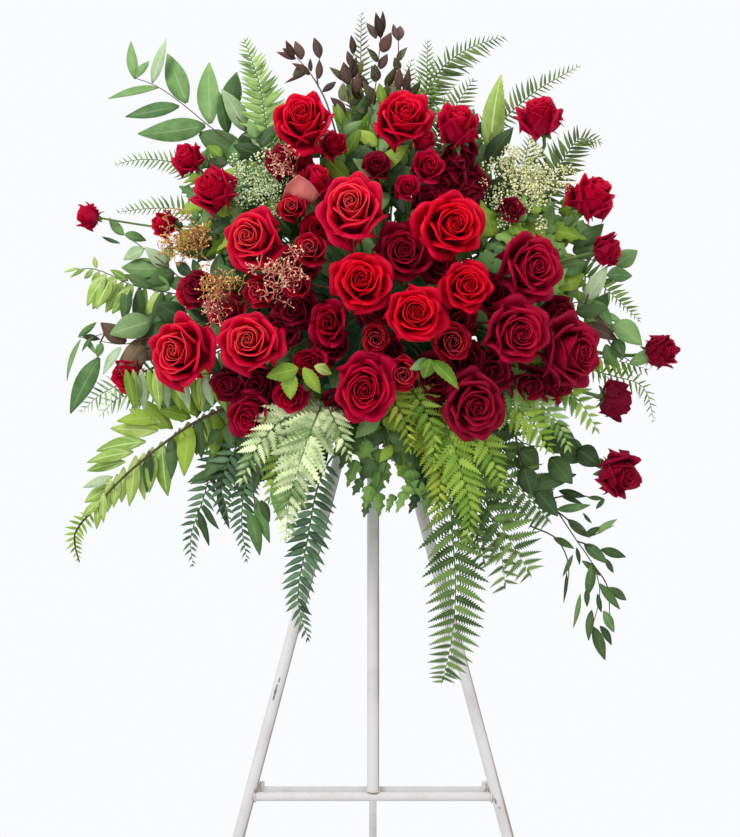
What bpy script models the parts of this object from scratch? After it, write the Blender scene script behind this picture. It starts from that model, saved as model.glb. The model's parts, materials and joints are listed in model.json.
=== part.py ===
"""Standing funeral arrangement: a fan of red roses and ferns on a white tripod easel.

Units are metres, +Z is up, the front faces -Y, and the origin is on the floor under the middle
of the whole piece. The easel is a leaning front frame (two legs, a mast and two rails) with one
rear leg hinged behind its head. A plastic tray of soaked floral foam is tied to the mast, and
every stem is pushed into the foam. Flower heads and foliage are simple closed solids here.
"""

import math

import bmesh
import bpy
from mathutils import Matrix, Vector

for old in list(bpy.data.objects):
    bpy.data.objects.remove(old)

# Driving dimensions.
GAP = 0.0003
LEAN = math.radians(9.0)
FRONT_Y = -0.264
APEX_HEIGHT = 1.380
LEG_SLOPE = 0.266
LEG_RADIUS = 0.0085
POST_RADIUS = 0.00875
REAR_LEG_RADIUS = 0.0060
TUBE_WALL = 0.0013
LEG_TOP = 1.316
RAIL_HEIGHT = 0.7170
RAIL_RADIUS = 0.0065
POST_TOP = 1.545
HINGE_Y = 0.0300
HINGE_HEIGHT = 1.270
REAR_FOOT_Y = 0.358
FOOT_WALL = 0.0025
FOOT_FLOOR = 0.0060
FOOT_HEIGHT = 0.0380
FOAM_SIZE = (0.200, 0.090, 0.230)
FOAM_HEIGHT = 1.417
TRAY_WALL = 0.003
TRAY_LIP = 0.012
SPINE = (0.018, 0.012, 0.230)
FOCUS_HEIGHT = 1.400

# The front frame's own axes: X right, Y back, Z up along the lean, from the floor line.
FRAME = Matrix.Translation((0.0, FRONT_Y, 0.0)) @ Matrix.Rotation(-LEAN, 4, "X")
# Flowers are placed from the focus, a point on the mast. Depth is counted forward from it.
FOCUS = FRAME @ Vector((0.0, 0.0, FOCUS_HEIGHT / math.cos(LEAN)))


def material(name, colour, roughness, metallic=0.0):
    made = bpy.data.materials.new(name)
    made.use_nodes = True
    shader = made.node_tree.nodes["Principled BSDF"]
    shader.inputs["Base Color"].default_value = (*colour, 1.0)
    shader.inputs["Roughness"].default_value = roughness
    shader.inputs["Metallic"].default_value = metallic
    return made


WHITE_PAINT = material("white_paint", (0.80, 0.81, 0.83), 0.45)
ZINC = material("zinc", (0.55, 0.56, 0.58), 0.35, 1.0)
RUBBER = material("rubber", (0.75, 0.75, 0.76), 0.80)
GREEN_PLASTIC = material("green_plastic", (0.03, 0.12, 0.05), 0.50)
FOAM = material("floral_foam", (0.04, 0.16, 0.07), 0.95)
RED_PETAL = material("red_petal", (0.60, 0.01, 0.02), 0.60)
DARK_PETAL = material("dark_petal", (0.25, 0.01, 0.03), 0.65)
FERN_GREEN = material("fern_green", (0.14, 0.30, 0.07), 0.60)
LEAF_GREEN = material("leaf_green", (0.09, 0.22, 0.06), 0.50)
DARK_LEAF = material("dark_leaf", (0.10, 0.05, 0.04), 0.60)
FILLER_CREAM = material("filler_cream", (0.60, 0.62, 0.36), 0.80)


def add_object(name, mesh, colour, place=None, parent=None):
    """One shaded object. Its mesh is in its own axes, and place puts it in its parent's."""
    mesh.materials.append(colour)
    mesh.shade_smooth()
    mesh.set_sharp_from_angle(angle=math.radians(40))
    made = bpy.data.objects.new(name, mesh)
    bpy.context.scene.collection.objects.link(made)
    made.parent = parent
    if place is not None:
        made.matrix_local = place
    return made


def rings_to_mesh(name, rings, loop=False):
    """A closed surface through rings of equally many points, capped unless it closes on itself."""
    work = bmesh.new()
    loops = [[work.verts.new(point) for point in ring] for ring in rings]
    pairs = list(zip(loops, loops[1:]))
    if loop:
        pairs.append((loops[-1], loops[0]))
    for low, high in pairs:
        for i in range(len(low)):
            j = (i + 1) % len(low)
            work.faces.new((low[i], low[j], high[j], high[i]))
    if not loop:
        work.faces.new(list(reversed(loops[0])))
        work.faces.new(loops[-1])
    bmesh.ops.recalc_face_normals(work, faces=work.faces)
    mesh = bpy.data.meshes.new(name)
    work.to_mesh(mesh)
    work.free()
    return mesh


def circle(radius, height, sides):
    turns = [2 * math.pi * i / sides for i in range(sides)]
    return [Vector((radius * math.cos(a), radius * math.sin(a), height)) for a in turns]


def turned_mesh(name, profile, sides, loop=False):
    """A solid turned about Z from (radius, height) pairs."""
    return rings_to_mesh(name, [circle(r, h, sides) for r, h in profile], loop)


def box_mesh(name, low, high):
    work = bmesh.new()
    size = Vector(high) - Vector(low)
    middle = (Vector(high) + Vector(low)) / 2
    place = Matrix.Translation(middle) @ Matrix.Diagonal((*size, 1.0))
    bmesh.ops.create_cube(work, size=1.0, matrix=place)
    mesh = bpy.data.meshes.new(name)
    work.to_mesh(mesh)
    work.free()
    return mesh


def aim(start, end):
    """The placement whose Z runs from start to end."""
    turn = (end - start).to_track_quat("Z", "Y")
    return Matrix.Translation(start) @ turn.to_matrix().to_4x4()


def guide(name, mesh, place=None, parent=None):
    """A cutter or a shape to be joined, which isn't a piece of its own."""
    made = add_object(name, mesh, GREEN_PLASTIC, place, parent)
    made.hide_render = True
    made.display_type = "WIRE"
    return made


def combine(target, other, operation="UNION"):
    change = target.modifiers.new(other.name, "BOOLEAN")
    change.operation = operation
    change.object = other


# ---------------------------------------------------------------------------------------------
# Easel
# ---------------------------------------------------------------------------------------------

TUBE_SIDES = 16

front_frame = bpy.data.objects.new("front_frame_axes", None)
front_frame.matrix_world = FRAME
bpy.context.scene.collection.objects.link(front_frame)
rear_swing = bpy.data.objects.new("rear_leg_axes", None)
rear_swing.matrix_world = Matrix.Translation(FRAME @ Vector((0.0, HINGE_Y, HINGE_HEIGHT)))
bpy.context.scene.collection.objects.link(rear_swing)


def leg_point(side, height):
    """A point on a front leg's centreline, in the frame's axes."""
    apex = APEX_HEIGHT / math.cos(LEAN)
    return Vector((side * LEG_SLOPE * math.cos(LEAN) * (apex - height), 0.0, height))


def slide_ring(ring, along, point, normal):
    """Moves each point of a ring along a direction until it lies in a plane."""
    return [p + along * ((point - p).dot(normal) / along.dot(normal)) for p in ring]


def floor_cut_tube(name, bottom, top, radius, wall, clearance):
    """An open tube whose lower end is cut level, a little above the floor, in world axes."""
    along = (top - bottom).normalized()
    place = aim(bottom, top)
    up = Vector((0.0, 0.0, 1.0))
    low = Vector((0.0, 0.0, clearance))
    rings = []
    for r in (radius, radius - wall):
        base = [place @ p for p in circle(r, 0.0, TUBE_SIDES)]
        rings.append((slide_ring(base, along, low, up), slide_ring(base, along, top, along)))
    (outer_low, outer_top), (inner_low, inner_top) = rings
    return rings_to_mesh(name, [outer_low, outer_top, inner_top, inner_low], loop=True)


def boot(name, bottom, top, radius):
    """A rubber boot in world axes: level underneath, with a pocket for the tube's end."""
    along = (top - bottom).normalized()
    place = aim(bottom, top)
    up = Vector((0.0, 0.0, 1.0))
    rim = bottom + along * FOOT_HEIGHT
    outer = [place @ p for p in circle(radius + GAP + FOOT_WALL, 0.0, TUBE_SIDES)]
    inner = [place @ p for p in circle(radius + GAP, 0.0, TUBE_SIDES)]
    pocket = Vector((0.0, 0.0, FOOT_FLOOR))
    rings = [
        slide_ring(outer, along, Vector((0.0, 0.0, 0.0)), up),
        slide_ring(outer, along, rim, along),
        slide_ring(inner, along, rim, along),
        slide_ring(inner, along, pocket, up),
    ]
    return rings_to_mesh(name, rings)


def world_piece(name, mesh, colour, parent):
    """An object modelled in world axes and then hung on its parent, which moves it."""
    made = add_object(name, mesh, colour)
    made.parent = parent
    made.matrix_parent_inverse = parent.matrix_world.inverted()
    return made


for side, label in ((-1, "left"), (1, "right")):
    foot = FRAME @ leg_point(side, 0.0)
    head = FRAME @ leg_point(side, LEG_TOP)
    tube = floor_cut_tube(
        f"front_leg_{label}", foot, head, LEG_RADIUS, TUBE_WALL, FOOT_FLOOR + GAP
    )
    world_piece(f"front_leg_{label}", tube, WHITE_PAINT, front_frame)
    cap = boot(f"foot_{label}", foot, head, LEG_RADIUS)
    world_piece(f"foot_{label}", cap, RUBBER, front_frame)

# The mast stands on the front rail and carries the flower tray.
post_foot = RAIL_HEIGHT + RAIL_RADIUS + GAP
post_profile = [
    (POST_RADIUS, post_foot),
    (POST_RADIUS, POST_TOP),
    (POST_RADIUS - TUBE_WALL, POST_TOP),
    (POST_RADIUS - TUBE_WALL, post_foot),
]
add_object(
    "centre_post",
    turned_mesh("centre_post", post_profile, TUBE_SIDES, loop=True),
    WHITE_PAINT,
    parent=front_frame,
)


def front_rail_mesh():
    """A round rail between the legs, each end cut along the slope of the leg it meets."""
    rings = []
    for side in (-1, 1):
        low, high = leg_point(side, 0.0), leg_point(side, LEG_TOP)
        slope = (high - low).normalized()
        outward = Vector((slope.z, 0.0, -slope.x)) * side
        edge = leg_point(side, RAIL_HEIGHT) - outward * (LEG_RADIUS + GAP)
        ends = []
        for radius in (RAIL_RADIUS, RAIL_RADIUS - TUBE_WALL):
            ring = [Vector((0.0, p.x, RAIL_HEIGHT + p.y)) for p in circle(radius, 0.0, TUBE_SIDES)]
            ends.append(slide_ring(ring, Vector((1.0, 0.0, 0.0)), edge, outward))
        rings.append(ends)
    (left_outer, left_inner), (right_outer, right_inner) = rings
    return rings_to_mesh(
        "front_rail", [left_outer, right_outer, right_inner, left_inner], loop=True
    )


add_object("front_rail", front_rail_mesh(), WHITE_PAINT, parent=front_frame)

# The rear rail is a flat bar behind the mast, held off the legs by a block at each end.
BAR_THICKNESS = 0.0030
BAR_HALF_HEIGHT = 0.0055
BAR_HEIGHT = 0.7255
BAR_HALF_LENGTH = 0.166
BLOCK_SIZE = (0.016, 0.010, 0.020)
bar_front = POST_RADIUS + GAP
add_object(
    "rear_rail",
    box_mesh(
        "rear_rail",
        (-BAR_HALF_LENGTH, bar_front, BAR_HEIGHT - BAR_HALF_HEIGHT),
        (BAR_HALF_LENGTH, bar_front + BAR_THICKNESS, BAR_HEIGHT + BAR_HALF_HEIGHT),
    ),
    WHITE_PAINT,
    parent=front_frame,
)
for side, label in ((-1, "left"), (1, "right")):
    width, depth, height = BLOCK_SIZE
    inner = side * (BAR_HALF_LENGTH - width * 0.55)
    outer = side * (BAR_HALF_LENGTH + width * 0.45)
    low_x, high_x = min(inner, outer), max(inner, outer)
    front = bar_front + BAR_THICKNESS + GAP
    low = (low_x, front, BAR_HEIGHT - height * 0.35)
    high = (high_x, front + depth * 0.5, BAR_HEIGHT + height * 0.65)
    block = add_object(
        f"rail_bracket_{label}",
        box_mesh(f"rail_bracket_{label}", low, high),
        WHITE_PAINT,
        parent=front_frame,
    )
    edge = block.modifiers.new("rounded_edges", "BEVEL")
    edge.width = 0.0012
    edge.segments = 1

# The head bracket: a plate behind the tubes, with two ears that hold the hinge pin.
PLATE_HALF_WIDTH = 0.056
PLATE_BOTTOM = 1.238
PLATE_TOP = 1.322
PLATE_THICKNESS = 0.004
EAR_INNER = 0.0072
EAR_THICKNESS = 0.003
EAR_BACK = 0.0400
EAR_HALF_HEIGHT = 0.016
PIN_RADIUS = 0.0028
plate_front = POST_RADIUS + GAP
bracket = add_object(
    "head_bracket",
    box_mesh(
        "head_bracket",
        (-PLATE_HALF_WIDTH, plate_front, PLATE_BOTTOM),
        (PLATE_HALF_WIDTH, plate_front + PLATE_THICKNESS, PLATE_TOP),
    ),
    WHITE_PAINT,
    parent=front_frame,
)
for side, label in ((-1, "left"), (1, "right")):
    xs = sorted((side * EAR_INNER, side * (EAR_INNER + EAR_THICKNESS)))
    ear = guide(
        f"ear_{label}",
        box_mesh(
            f"ear_{label}",
            (xs[0], plate_front + PLATE_THICKNESS * 0.5, HINGE_HEIGHT - EAR_HALF_HEIGHT),
            (xs[1], EAR_BACK, HINGE_HEIGHT + EAR_HALF_HEIGHT),
        ),
        parent=front_frame,
    )
    combine(bracket, ear)
across = Matrix.Rotation(math.radians(90), 4, "Y")
pin_hole = guide(
    "pin_hole",
    turned_mesh("pin_hole", [(PIN_RADIUS + GAP, -0.03), (PIN_RADIUS + GAP, 0.03)], 12),
    Matrix.Translation((0.0, HINGE_Y, HINGE_HEIGHT)) @ across,
    front_frame,
)
combine(bracket, pin_hole, "DIFFERENCE")

# The pin has a flat head on one side and a nut on the other.
ear_outer = EAR_INNER + EAR_THICKNESS + GAP
pin_profile = [
    (0.0052, -ear_outer - 0.0032),
    (0.0052, -ear_outer),
    (PIN_RADIUS, -ear_outer),
    (PIN_RADIUS, ear_outer),
    (0.0055, ear_outer),
    (0.0055, ear_outer + 0.0045),
]
add_object(
    "hinge_pin",
    turned_mesh("hinge_pin", pin_profile, 12),
    ZINC,
    Matrix.Translation((0.0, HINGE_Y, HINGE_HEIGHT)) @ across,
    front_frame,
)

# The rear leg hangs on the pin. Above the pin its end leans on the plate, which stops it.
STOP_LENGTH = 0.0252
pivot = rear_swing.matrix_world.translation.copy()
rear_foot = Vector((0.0, REAR_FOOT_Y, 0.0))
rear_along = (pivot - rear_foot).normalized()
rear_top = pivot + rear_along * STOP_LENGTH
rear_leg = world_piece(
    "rear_leg",
    floor_cut_tube(
        "rear_leg", rear_foot, rear_top, REAR_LEG_RADIUS, TUBE_WALL, FOOT_FLOOR + GAP
    ),
    WHITE_PAINT,
    rear_swing,
)
leg_hole = guide(
    "leg_hole",
    turned_mesh("leg_hole", [(PIN_RADIUS + GAP, -0.012), (PIN_RADIUS + GAP, 0.012)], 12),
    across,
    rear_swing,
)
combine(rear_leg, leg_hole, "DIFFERENCE")
world_piece(
    "foot_rear", boot("foot_rear", rear_foot, pivot, REAR_LEG_RADIUS), RUBBER, rear_swing
)

# ---------------------------------------------------------------------------------------------
# Flower holder
# ---------------------------------------------------------------------------------------------

# A shallow tray with a spine down its back. The spine stands against the mast, and two ties go
# round the mast and through slots in the spine.
foam_back = -(POST_RADIUS + GAP + SPINE[1] + TRAY_WALL + GAP)
half_w, half_h = FOAM_SIZE[0] / 2, FOAM_SIZE[2] / 2
tray_half_w = half_w + GAP + TRAY_WALL
tray_half_h = half_h + GAP + TRAY_WALL
tray = add_object(
    "foam_tray",
    box_mesh(
        "foam_tray",
        (-tray_half_w, foam_back - TRAY_LIP, FOAM_HEIGHT - tray_half_h),
        (tray_half_w, foam_back + GAP + TRAY_WALL, FOAM_HEIGHT + tray_half_h),
    ),
    GREEN_PLASTIC,
    parent=front_frame,
)
tray_pocket = guide(
    "tray_pocket",
    box_mesh(
        "tray_pocket",
        (-half_w - GAP, foam_back - TRAY_LIP * 2, FOAM_HEIGHT - half_h - GAP),
        (half_w + GAP, foam_back + GAP, FOAM_HEIGHT + half_h + GAP),
    ),
    parent=front_frame,
)
combine(tray, tray_pocket, "DIFFERENCE")
spine = guide(
    "tray_spine",
    box_mesh(
        "tray_spine",
        (-SPINE[0] / 2, foam_back + GAP + TRAY_WALL / 2, FOAM_HEIGHT - SPINE[2] / 2),
        (SPINE[0] / 2, -(POST_RADIUS + GAP), FOAM_HEIGHT + SPINE[2] / 2),
    ),
    parent=front_frame,
)
combine(tray, spine)

TIE_HEIGHTS = (("lower", FOAM_HEIGHT - 0.080), ("upper", FOAM_HEIGHT + 0.080))
TIE_THICKNESS = 0.0016
TIE_HALF_HEIGHT = 0.0025
TIE_HALF_WIDTH = 0.0115
tie_front = foam_back + GAP + TRAY_WALL + 0.0055
tie_back = POST_RADIUS + GAP + TIE_THICKNESS
for label, height in TIE_HEIGHTS:
    slot = guide(
        f"tie_slot_{label}",
        box_mesh(
            f"tie_slot_{label}",
            (-0.02, tie_front - GAP, height - TIE_HALF_HEIGHT - GAP),
            (0.02, tie_front + TIE_THICKNESS + GAP, height + TIE_HALF_HEIGHT + GAP),
        ),
        parent=front_frame,
    )
    combine(tray, slot, "DIFFERENCE")
    inner = TIE_HALF_WIDTH - TIE_THICKNESS
    rings = []
    for x, front, back in (
        (TIE_HALF_WIDTH, tie_front, tie_back),
        (inner, tie_front + TIE_THICKNESS, tie_back - TIE_THICKNESS),
    ):
        corners = ((-x, front), (x, front), (x, back), (-x, back))
        for z in (height - TIE_HALF_HEIGHT, height + TIE_HALF_HEIGHT):
            rings.append([Vector((cx, cy, z)) for cx, cy in corners])
    outer_low, outer_high, inner_low, inner_high = rings
    band = rings_to_mesh(
        f"tray_tie_{label}", [outer_low, outer_high, inner_high, inner_low], loop=True
    )
    add_object(f"tray_tie_{label}", band, GREEN_PLASTIC, parent=front_frame)

foam = add_object(
    "floral_foam",
    box_mesh(
        "floral_foam",
        (-half_w, foam_back - FOAM_SIZE[1], FOAM_HEIGHT - half_h),
        (half_w, foam_back, FOAM_HEIGHT + half_h),
    ),
    FOAM,
    parent=front_frame,
)
foam_front = foam_back - FOAM_SIZE[1]

# ---------------------------------------------------------------------------------------------
# Stems, flower heads and foliage
# ---------------------------------------------------------------------------------------------

FRONT_HOLE_DEPTH = 0.036
SIDE_HOLE_DEPTH = 0.044
HOLE_RUN_OUT = 0.004
FRONT_SPREAD = 0.36
FRONT_DROP = 0.005
SIDE_ROWS = (foam_back - 0.026, foam_back - 0.042)
stem_holes = []


def spot(x, depth, z):
    """A point given from the focus: right, forward and up."""
    return FOCUS + Vector((x, -depth, z))


def facing(yaw, pitch):
    """The way a flower looks: straight ahead turned right by yaw and up by pitch, in degrees."""
    a, b = math.radians(yaw), math.radians(pitch)
    return Vector((math.sin(a) * math.cos(b), -math.cos(a) * math.cos(b), math.sin(b)))


def front_seat(x, z):
    """Where a stem that comes out of the foam's front is pushed in: (entry, direction out)."""
    entry = Vector((x * FRONT_SPREAD, foam_front, FOAM_HEIGHT - FRONT_DROP + z * FRONT_SPREAD))
    return FRAME @ entry, (FRAME.to_3x3() @ Vector((0.0, -1.0, 0.0)))


def side_seat(side, place, row):
    """The same for a stem in the foam's left, right, top or bottom face, at a place along it."""
    y = SIDE_ROWS[row]
    entry, out = {
        "left": ((-half_w, y, FOAM_HEIGHT + place), (-1.0, 0.0, 0.0)),
        "right": ((half_w, y, FOAM_HEIGHT + place), (1.0, 0.0, 0.0)),
        "top": ((place, y, FOAM_HEIGHT + half_h), (0.0, 0.0, 1.0)),
        "bottom": ((place, y, FOAM_HEIGHT - half_h), (0.0, 0.0, -1.0)),
    }[side]
    return FRAME @ Vector(entry), FRAME.to_3x3() @ Vector(out)


def bezier(start, out, end, arrival, samples, reach=0.36):
    """Points after the start of a smooth stem that leaves along out and arrives along arrival."""
    length = (end - start).length * reach
    a, b = start + out * length, end - arrival * length
    points = []
    for i in range(1, samples + 1):
        t = i / samples
        u = 1 - t
        points.append(start * u**3 + a * 3 * u * u * t + b * 3 * u * t * t + end * t**3)
    return points


def tangents(points):
    steps = [(q - p).normalized() for p, q in zip(points, points[1:])]
    inner = [(p + q).normalized() for p, q in zip(steps, steps[1:])]
    return [steps[0], *inner, steps[-1]]


def loft_mesh(name, points, widths, sides, face=None, ahead=None):
    """A closed body of oval sections along a path. widths are (half width, half thickness).

    face is the way a flat blade looks, and without it the sections keep from twisting. ahead is
    the way of the last sections when the path alone doesn't say it.
    """
    ways = ahead if ahead else tangents(points)
    first = ways[0]
    hint = Vector((0.0, 0.0, 1.0)) if abs(first.z) < 0.8 else Vector((1.0, 0.0, 0.0))
    side = (hint - first * hint.dot(first)).normalized()
    rings = []
    for point, way, (a, b) in zip(points, ways, widths):
        if face:
            side = way.cross(face).normalized()
        else:
            side = (side - way * side.dot(way)).normalized()
        up = way.cross(side)
        turns = [2 * math.pi * i / sides for i in range(sides)]
        rings.append([point + side * a * math.cos(t) + up * b * math.sin(t) for t in turns])
    return rings_to_mesh(name, rings)


def foliage_object(name, points, widths, sides, colour, face=None, ahead=None, hidden=False):
    """A lofted piece whose object sits where its stem meets the foam."""
    origin = points[1]
    local = [p - origin for p in points]
    mesh = loft_mesh(name, local, widths, sides, face, ahead)
    if hidden:
        return guide(name, mesh, Matrix.Translation(origin))
    return add_object(name, mesh, colour, Matrix.Translation(origin))


def drill(entry, out, depth, radius, sides):
    """Keeps a hole to be cut in the foam for a stem."""
    points = [entry - out * (depth + GAP), entry + out * HOLE_RUN_OUT]
    width = (radius + GAP * 1.4, radius + GAP * 1.4)
    stem_holes.append(loft_mesh("hole", points, [width, width], sides))


# A rose head's turned shape from calyx to rim: (share of height, share of radius).
HEAD_PROFILE = ((0.0, 0.14), (0.10, 0.46), (0.38, 0.88), (0.72, 1.0), (0.95, 0.78), (1.0, 0.36))
HEAD_RADIUS = 0.43
HEAD_HEIGHT = 0.60
HEAD_MIDDLE = 0.62


def head_rings(base, way, diameter):
    """Centres and widths of a head's sections above its base."""
    centres, widths = [], []
    for height, radius in HEAD_PROFILE:
        centres.append(base + way * height * diameter * HEAD_HEIGHT)
        widths.append((radius * diameter * HEAD_RADIUS, radius * diameter * HEAD_RADIUS))
    return centres, widths


def flower_base(centre, way, diameter):
    """Where a stem meets a head whose middle is at centre."""
    return centre - way * diameter * HEAD_HEIGHT * HEAD_MIDDLE


def stem_to_head(entry, out, depth, centre, way, diameter, radius, samples):
    """The path and widths of one whole flower: the part in the foam, its stem and its head."""
    base = flower_base(centre, way, diameter)
    path = [entry - out * depth, entry] if depth else [entry]
    path += bezier(entry, out, base, way, samples)
    ways = tangents(path)
    ways[-1] = way
    widths = [(radius, radius)] * len(path)
    centres, head_widths = head_rings(base, way, diameter)
    path += centres[1:]
    widths += head_widths[1:]
    ways += [way] * (len(centres) - 1)
    return path, widths, ways


ROSE_STEM = 0.0030
SPRAY_STEM = 0.0022
BRANCH_STEM = 0.0017
# Branches leave a spray's trunk this share of its last stretch apart.
FORK_STEP = 0.16

# Large roses: name, seat, middle of the head (right, forward, up), diameter, yaw and pitch.
# A seat is "front", or a side of the foam with a place along it and a row.
ROSES = (
    ("rose_top_left", ("top", -0.018, 1), (-0.097, 0.195, 0.272), 0.086, -8, 15),
    ("rose_top_right", "front", (0.042, 0.195, 0.276), 0.076, 5, 20),
    ("rose_upper_middle", "front", (-0.029, 0.260, 0.147), 0.093, -5, 12),
    ("rose_upper_right", "front", (0.106, 0.270, 0.123), 0.105, 10, 5),
    ("rose_upper_left", "front", (-0.166, 0.235, 0.107), 0.088, -15, 5),
    ("rose_deep_centre", "front", (0.043, 0.215, 0.090), 0.090, 0, 5),
    ("rose_centre", "front", (-0.016, 0.290, 0.048), 0.089, 0, 5),
    ("rose_right_shoulder", "front", (0.216, 0.240, 0.067), 0.096, 18, 3),
    ("rose_bright_centre", "front", (0.056, 0.305, 0.005), 0.084, 3, 0),
    ("rose_inner_right", "front", (0.127, 0.285, 0.042), 0.072, 8, 3),
    ("rose_right_middle", "front", (0.195, 0.270, -0.022), 0.092, 15, -3),
    ("rose_right_edge", "front", (0.272, 0.230, -0.049), 0.096, 40, 0),
    ("rose_left_edge", "front", (-0.266, 0.230, -0.048), 0.092, -15, -5),
    ("rose_left_middle", "front", (-0.166, 0.270, -0.034), 0.088, -8, 5),
    ("rose_lower_middle", "front", (-0.012, 0.270, -0.098), 0.089, 0, -5),
    ("rose_lower_right", "front", (0.139, 0.250, -0.121), 0.095, 10, -8),
    ("rose_lower_left_dark", ("left", -0.038, 1), (-0.170, 0.190, -0.133), 0.077, -10, -20),
    ("rose_side_left", ("left", 0.064, 1), (-0.222, 0.180, 0.177), 0.066, -50, 30),
    ("rose_far_top_right", ("top", 0.035, 1), (0.233, 0.150, 0.279), 0.062, 40, 35),
    ("rose_side_right", ("right", 0.062, 0), (0.309, 0.150, 0.169), 0.070, 45, 30),
    ("rose_right_bud", ("right", 0.034, 0), (0.329, 0.150, 0.092), 0.048, 70, 10),
    ("rose_far_right", ("right", 0.008, 1), (0.410, 0.120, -0.050), 0.058, 60, 10),
    ("rose_right_back", ("right", -0.020, 0), (0.343, 0.150, -0.117), 0.058, 110, -10),
    ("rose_low_right", ("right", -0.050, 1), (0.346, 0.170, -0.220), 0.064, 45, -10),
)


def seat_of(seat, x, z):
    if seat == "front":
        return front_seat(x, z), FRONT_HOLE_DEPTH
    return side_seat(*seat), SIDE_HOLE_DEPTH


DARK_ROSES = ("rose_deep_centre", "rose_lower_left_dark", "rose_right_back")
for name, seat, (x, depth, z), diameter, yaw, pitch in ROSES:
    (entry, out), hole_depth = seat_of(seat, x, z)
    path, widths, ways = stem_to_head(
        entry, out, hole_depth, spot(x, depth, z), facing(yaw, pitch), diameter, ROSE_STEM, 5
    )
    petal = DARK_PETAL if name in DARK_ROSES else RED_PETAL
    foliage_object(name, path, widths, 8, petal, ahead=ways)
    drill(entry, out, hole_depth, ROSE_STEM, 8)

# Spray roses: name, seat, fork point, and the heads on it as (middle, diameter, yaw, pitch).
SPRAYS = (
    ("spray_rose_top_left", "front", (-0.070, 0.130, 0.160), (
        ((-0.055, 0.170, 0.239), 0.045, 5, 30),
        ((-0.100, 0.160, 0.215), 0.032, -20, 30),
        ((-0.078, 0.190, 0.190), 0.052, -10, 10),
    )),
    ("spray_rose_top_right", "front", (0.055, 0.140, 0.140), (
        ((0.047, 0.210, 0.178), 0.038, 0, 15),
        ((0.076, 0.195, 0.207), 0.045, 10, 15),
        ((0.068, 0.190, 0.240), 0.034, 0, 35),
    )),
    ("spray_rose_upper_left", "front", (-0.090, 0.150, 0.060), (
        ((-0.112, 0.220, 0.150), 0.040, -10, 20),
        ((-0.085, 0.235, 0.092), 0.050, -5, 10),
        ((-0.106, 0.230, 0.044), 0.048, -10, 0),
        ((-0.156, 0.205, 0.036), 0.046, -25, 0),
    )),
    ("spray_rose_middle", "front", (0.045, 0.170, -0.045), (
        ((0.003, 0.245, -0.030), 0.047, 0, 0),
        ((0.040, 0.250, -0.078), 0.047, 5, -5),
        ((0.108, 0.245, -0.035), 0.052, 10, 0),
    )),
    ("spray_rose_lower_left", "front", (-0.070, 0.165, -0.040), (
        ((-0.060, 0.215, -0.010), 0.066, -5, 5),
        ((-0.085, 0.230, -0.062), 0.047, -5, 0),
        ((-0.115, 0.225, -0.110), 0.052, -10, -10),
    )),
    ("spray_rose_far_left", ("left", 0.040, 0), (-0.200, 0.100, 0.130), (
        ((-0.262, 0.130, 0.223), 0.048, -40, 30),
        ((-0.301, 0.120, 0.131), 0.046, -60, 5),
        ((-0.408, 0.100, 0.143), 0.042, -80, 10),
    )),
    ("spray_rose_dark_right", "front", (0.130, 0.145, 0.150), (
        ((0.118, 0.160, 0.266), 0.056, 10, 50),
        ((0.112, 0.180, 0.210), 0.048, 5, 20),
        ((0.150, 0.180, 0.175), 0.048, 15, 10),
        ((0.190, 0.170, 0.150), 0.046, 20, 10),
    )),
    ("spray_rose_low_far_left", ("left", -0.016, 1), (-0.210, 0.120, -0.020), (
        ((-0.262, 0.160, 0.035), 0.052, -70, 5),
        ((-0.352, 0.120, -0.087), 0.055, -40, -10),
    )),
)

for name, seat, fork, heads in SPRAYS:
    (entry, out), hole_depth = seat_of(seat, fork[0], fork[2])
    fork_point = spot(*fork)
    drill(entry, out, hole_depth, SPRAY_STEM, 6)
    to_fork = (fork_point - entry).normalized()
    trunk = [entry - out * hole_depth, entry] + bezier(entry, out, fork_point, to_fork, 3)
    trunk_widths = [(SPRAY_STEM, SPRAY_STEM)] * len(trunk)
    main = foliage_object(name, trunk, trunk_widths, 6, DARK_PETAL)
    for number, (middle, diameter, yaw, pitch) in enumerate(heads, 1):
        way = facing(yaw, pitch)
        start = trunk[-2].lerp(fork_point, 0.90 - FORK_STEP * number)
        leave = (spot(*middle) - start).normalized()
        path, widths, ways = stem_to_head(
            start, leave, 0, spot(*middle), way, diameter, BRANCH_STEM, 4
        )
        branch = foliage_object(
            f"{name}_{number}", path, widths, 6, DARK_PETAL, ahead=ways, hidden=True
        )
        combine(main, branch)

# The bare stem's share of a frond, and the envelope's share of the frond's own width.
BARE_STEM = 0.22
BLADE_FILL = 0.9

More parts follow.
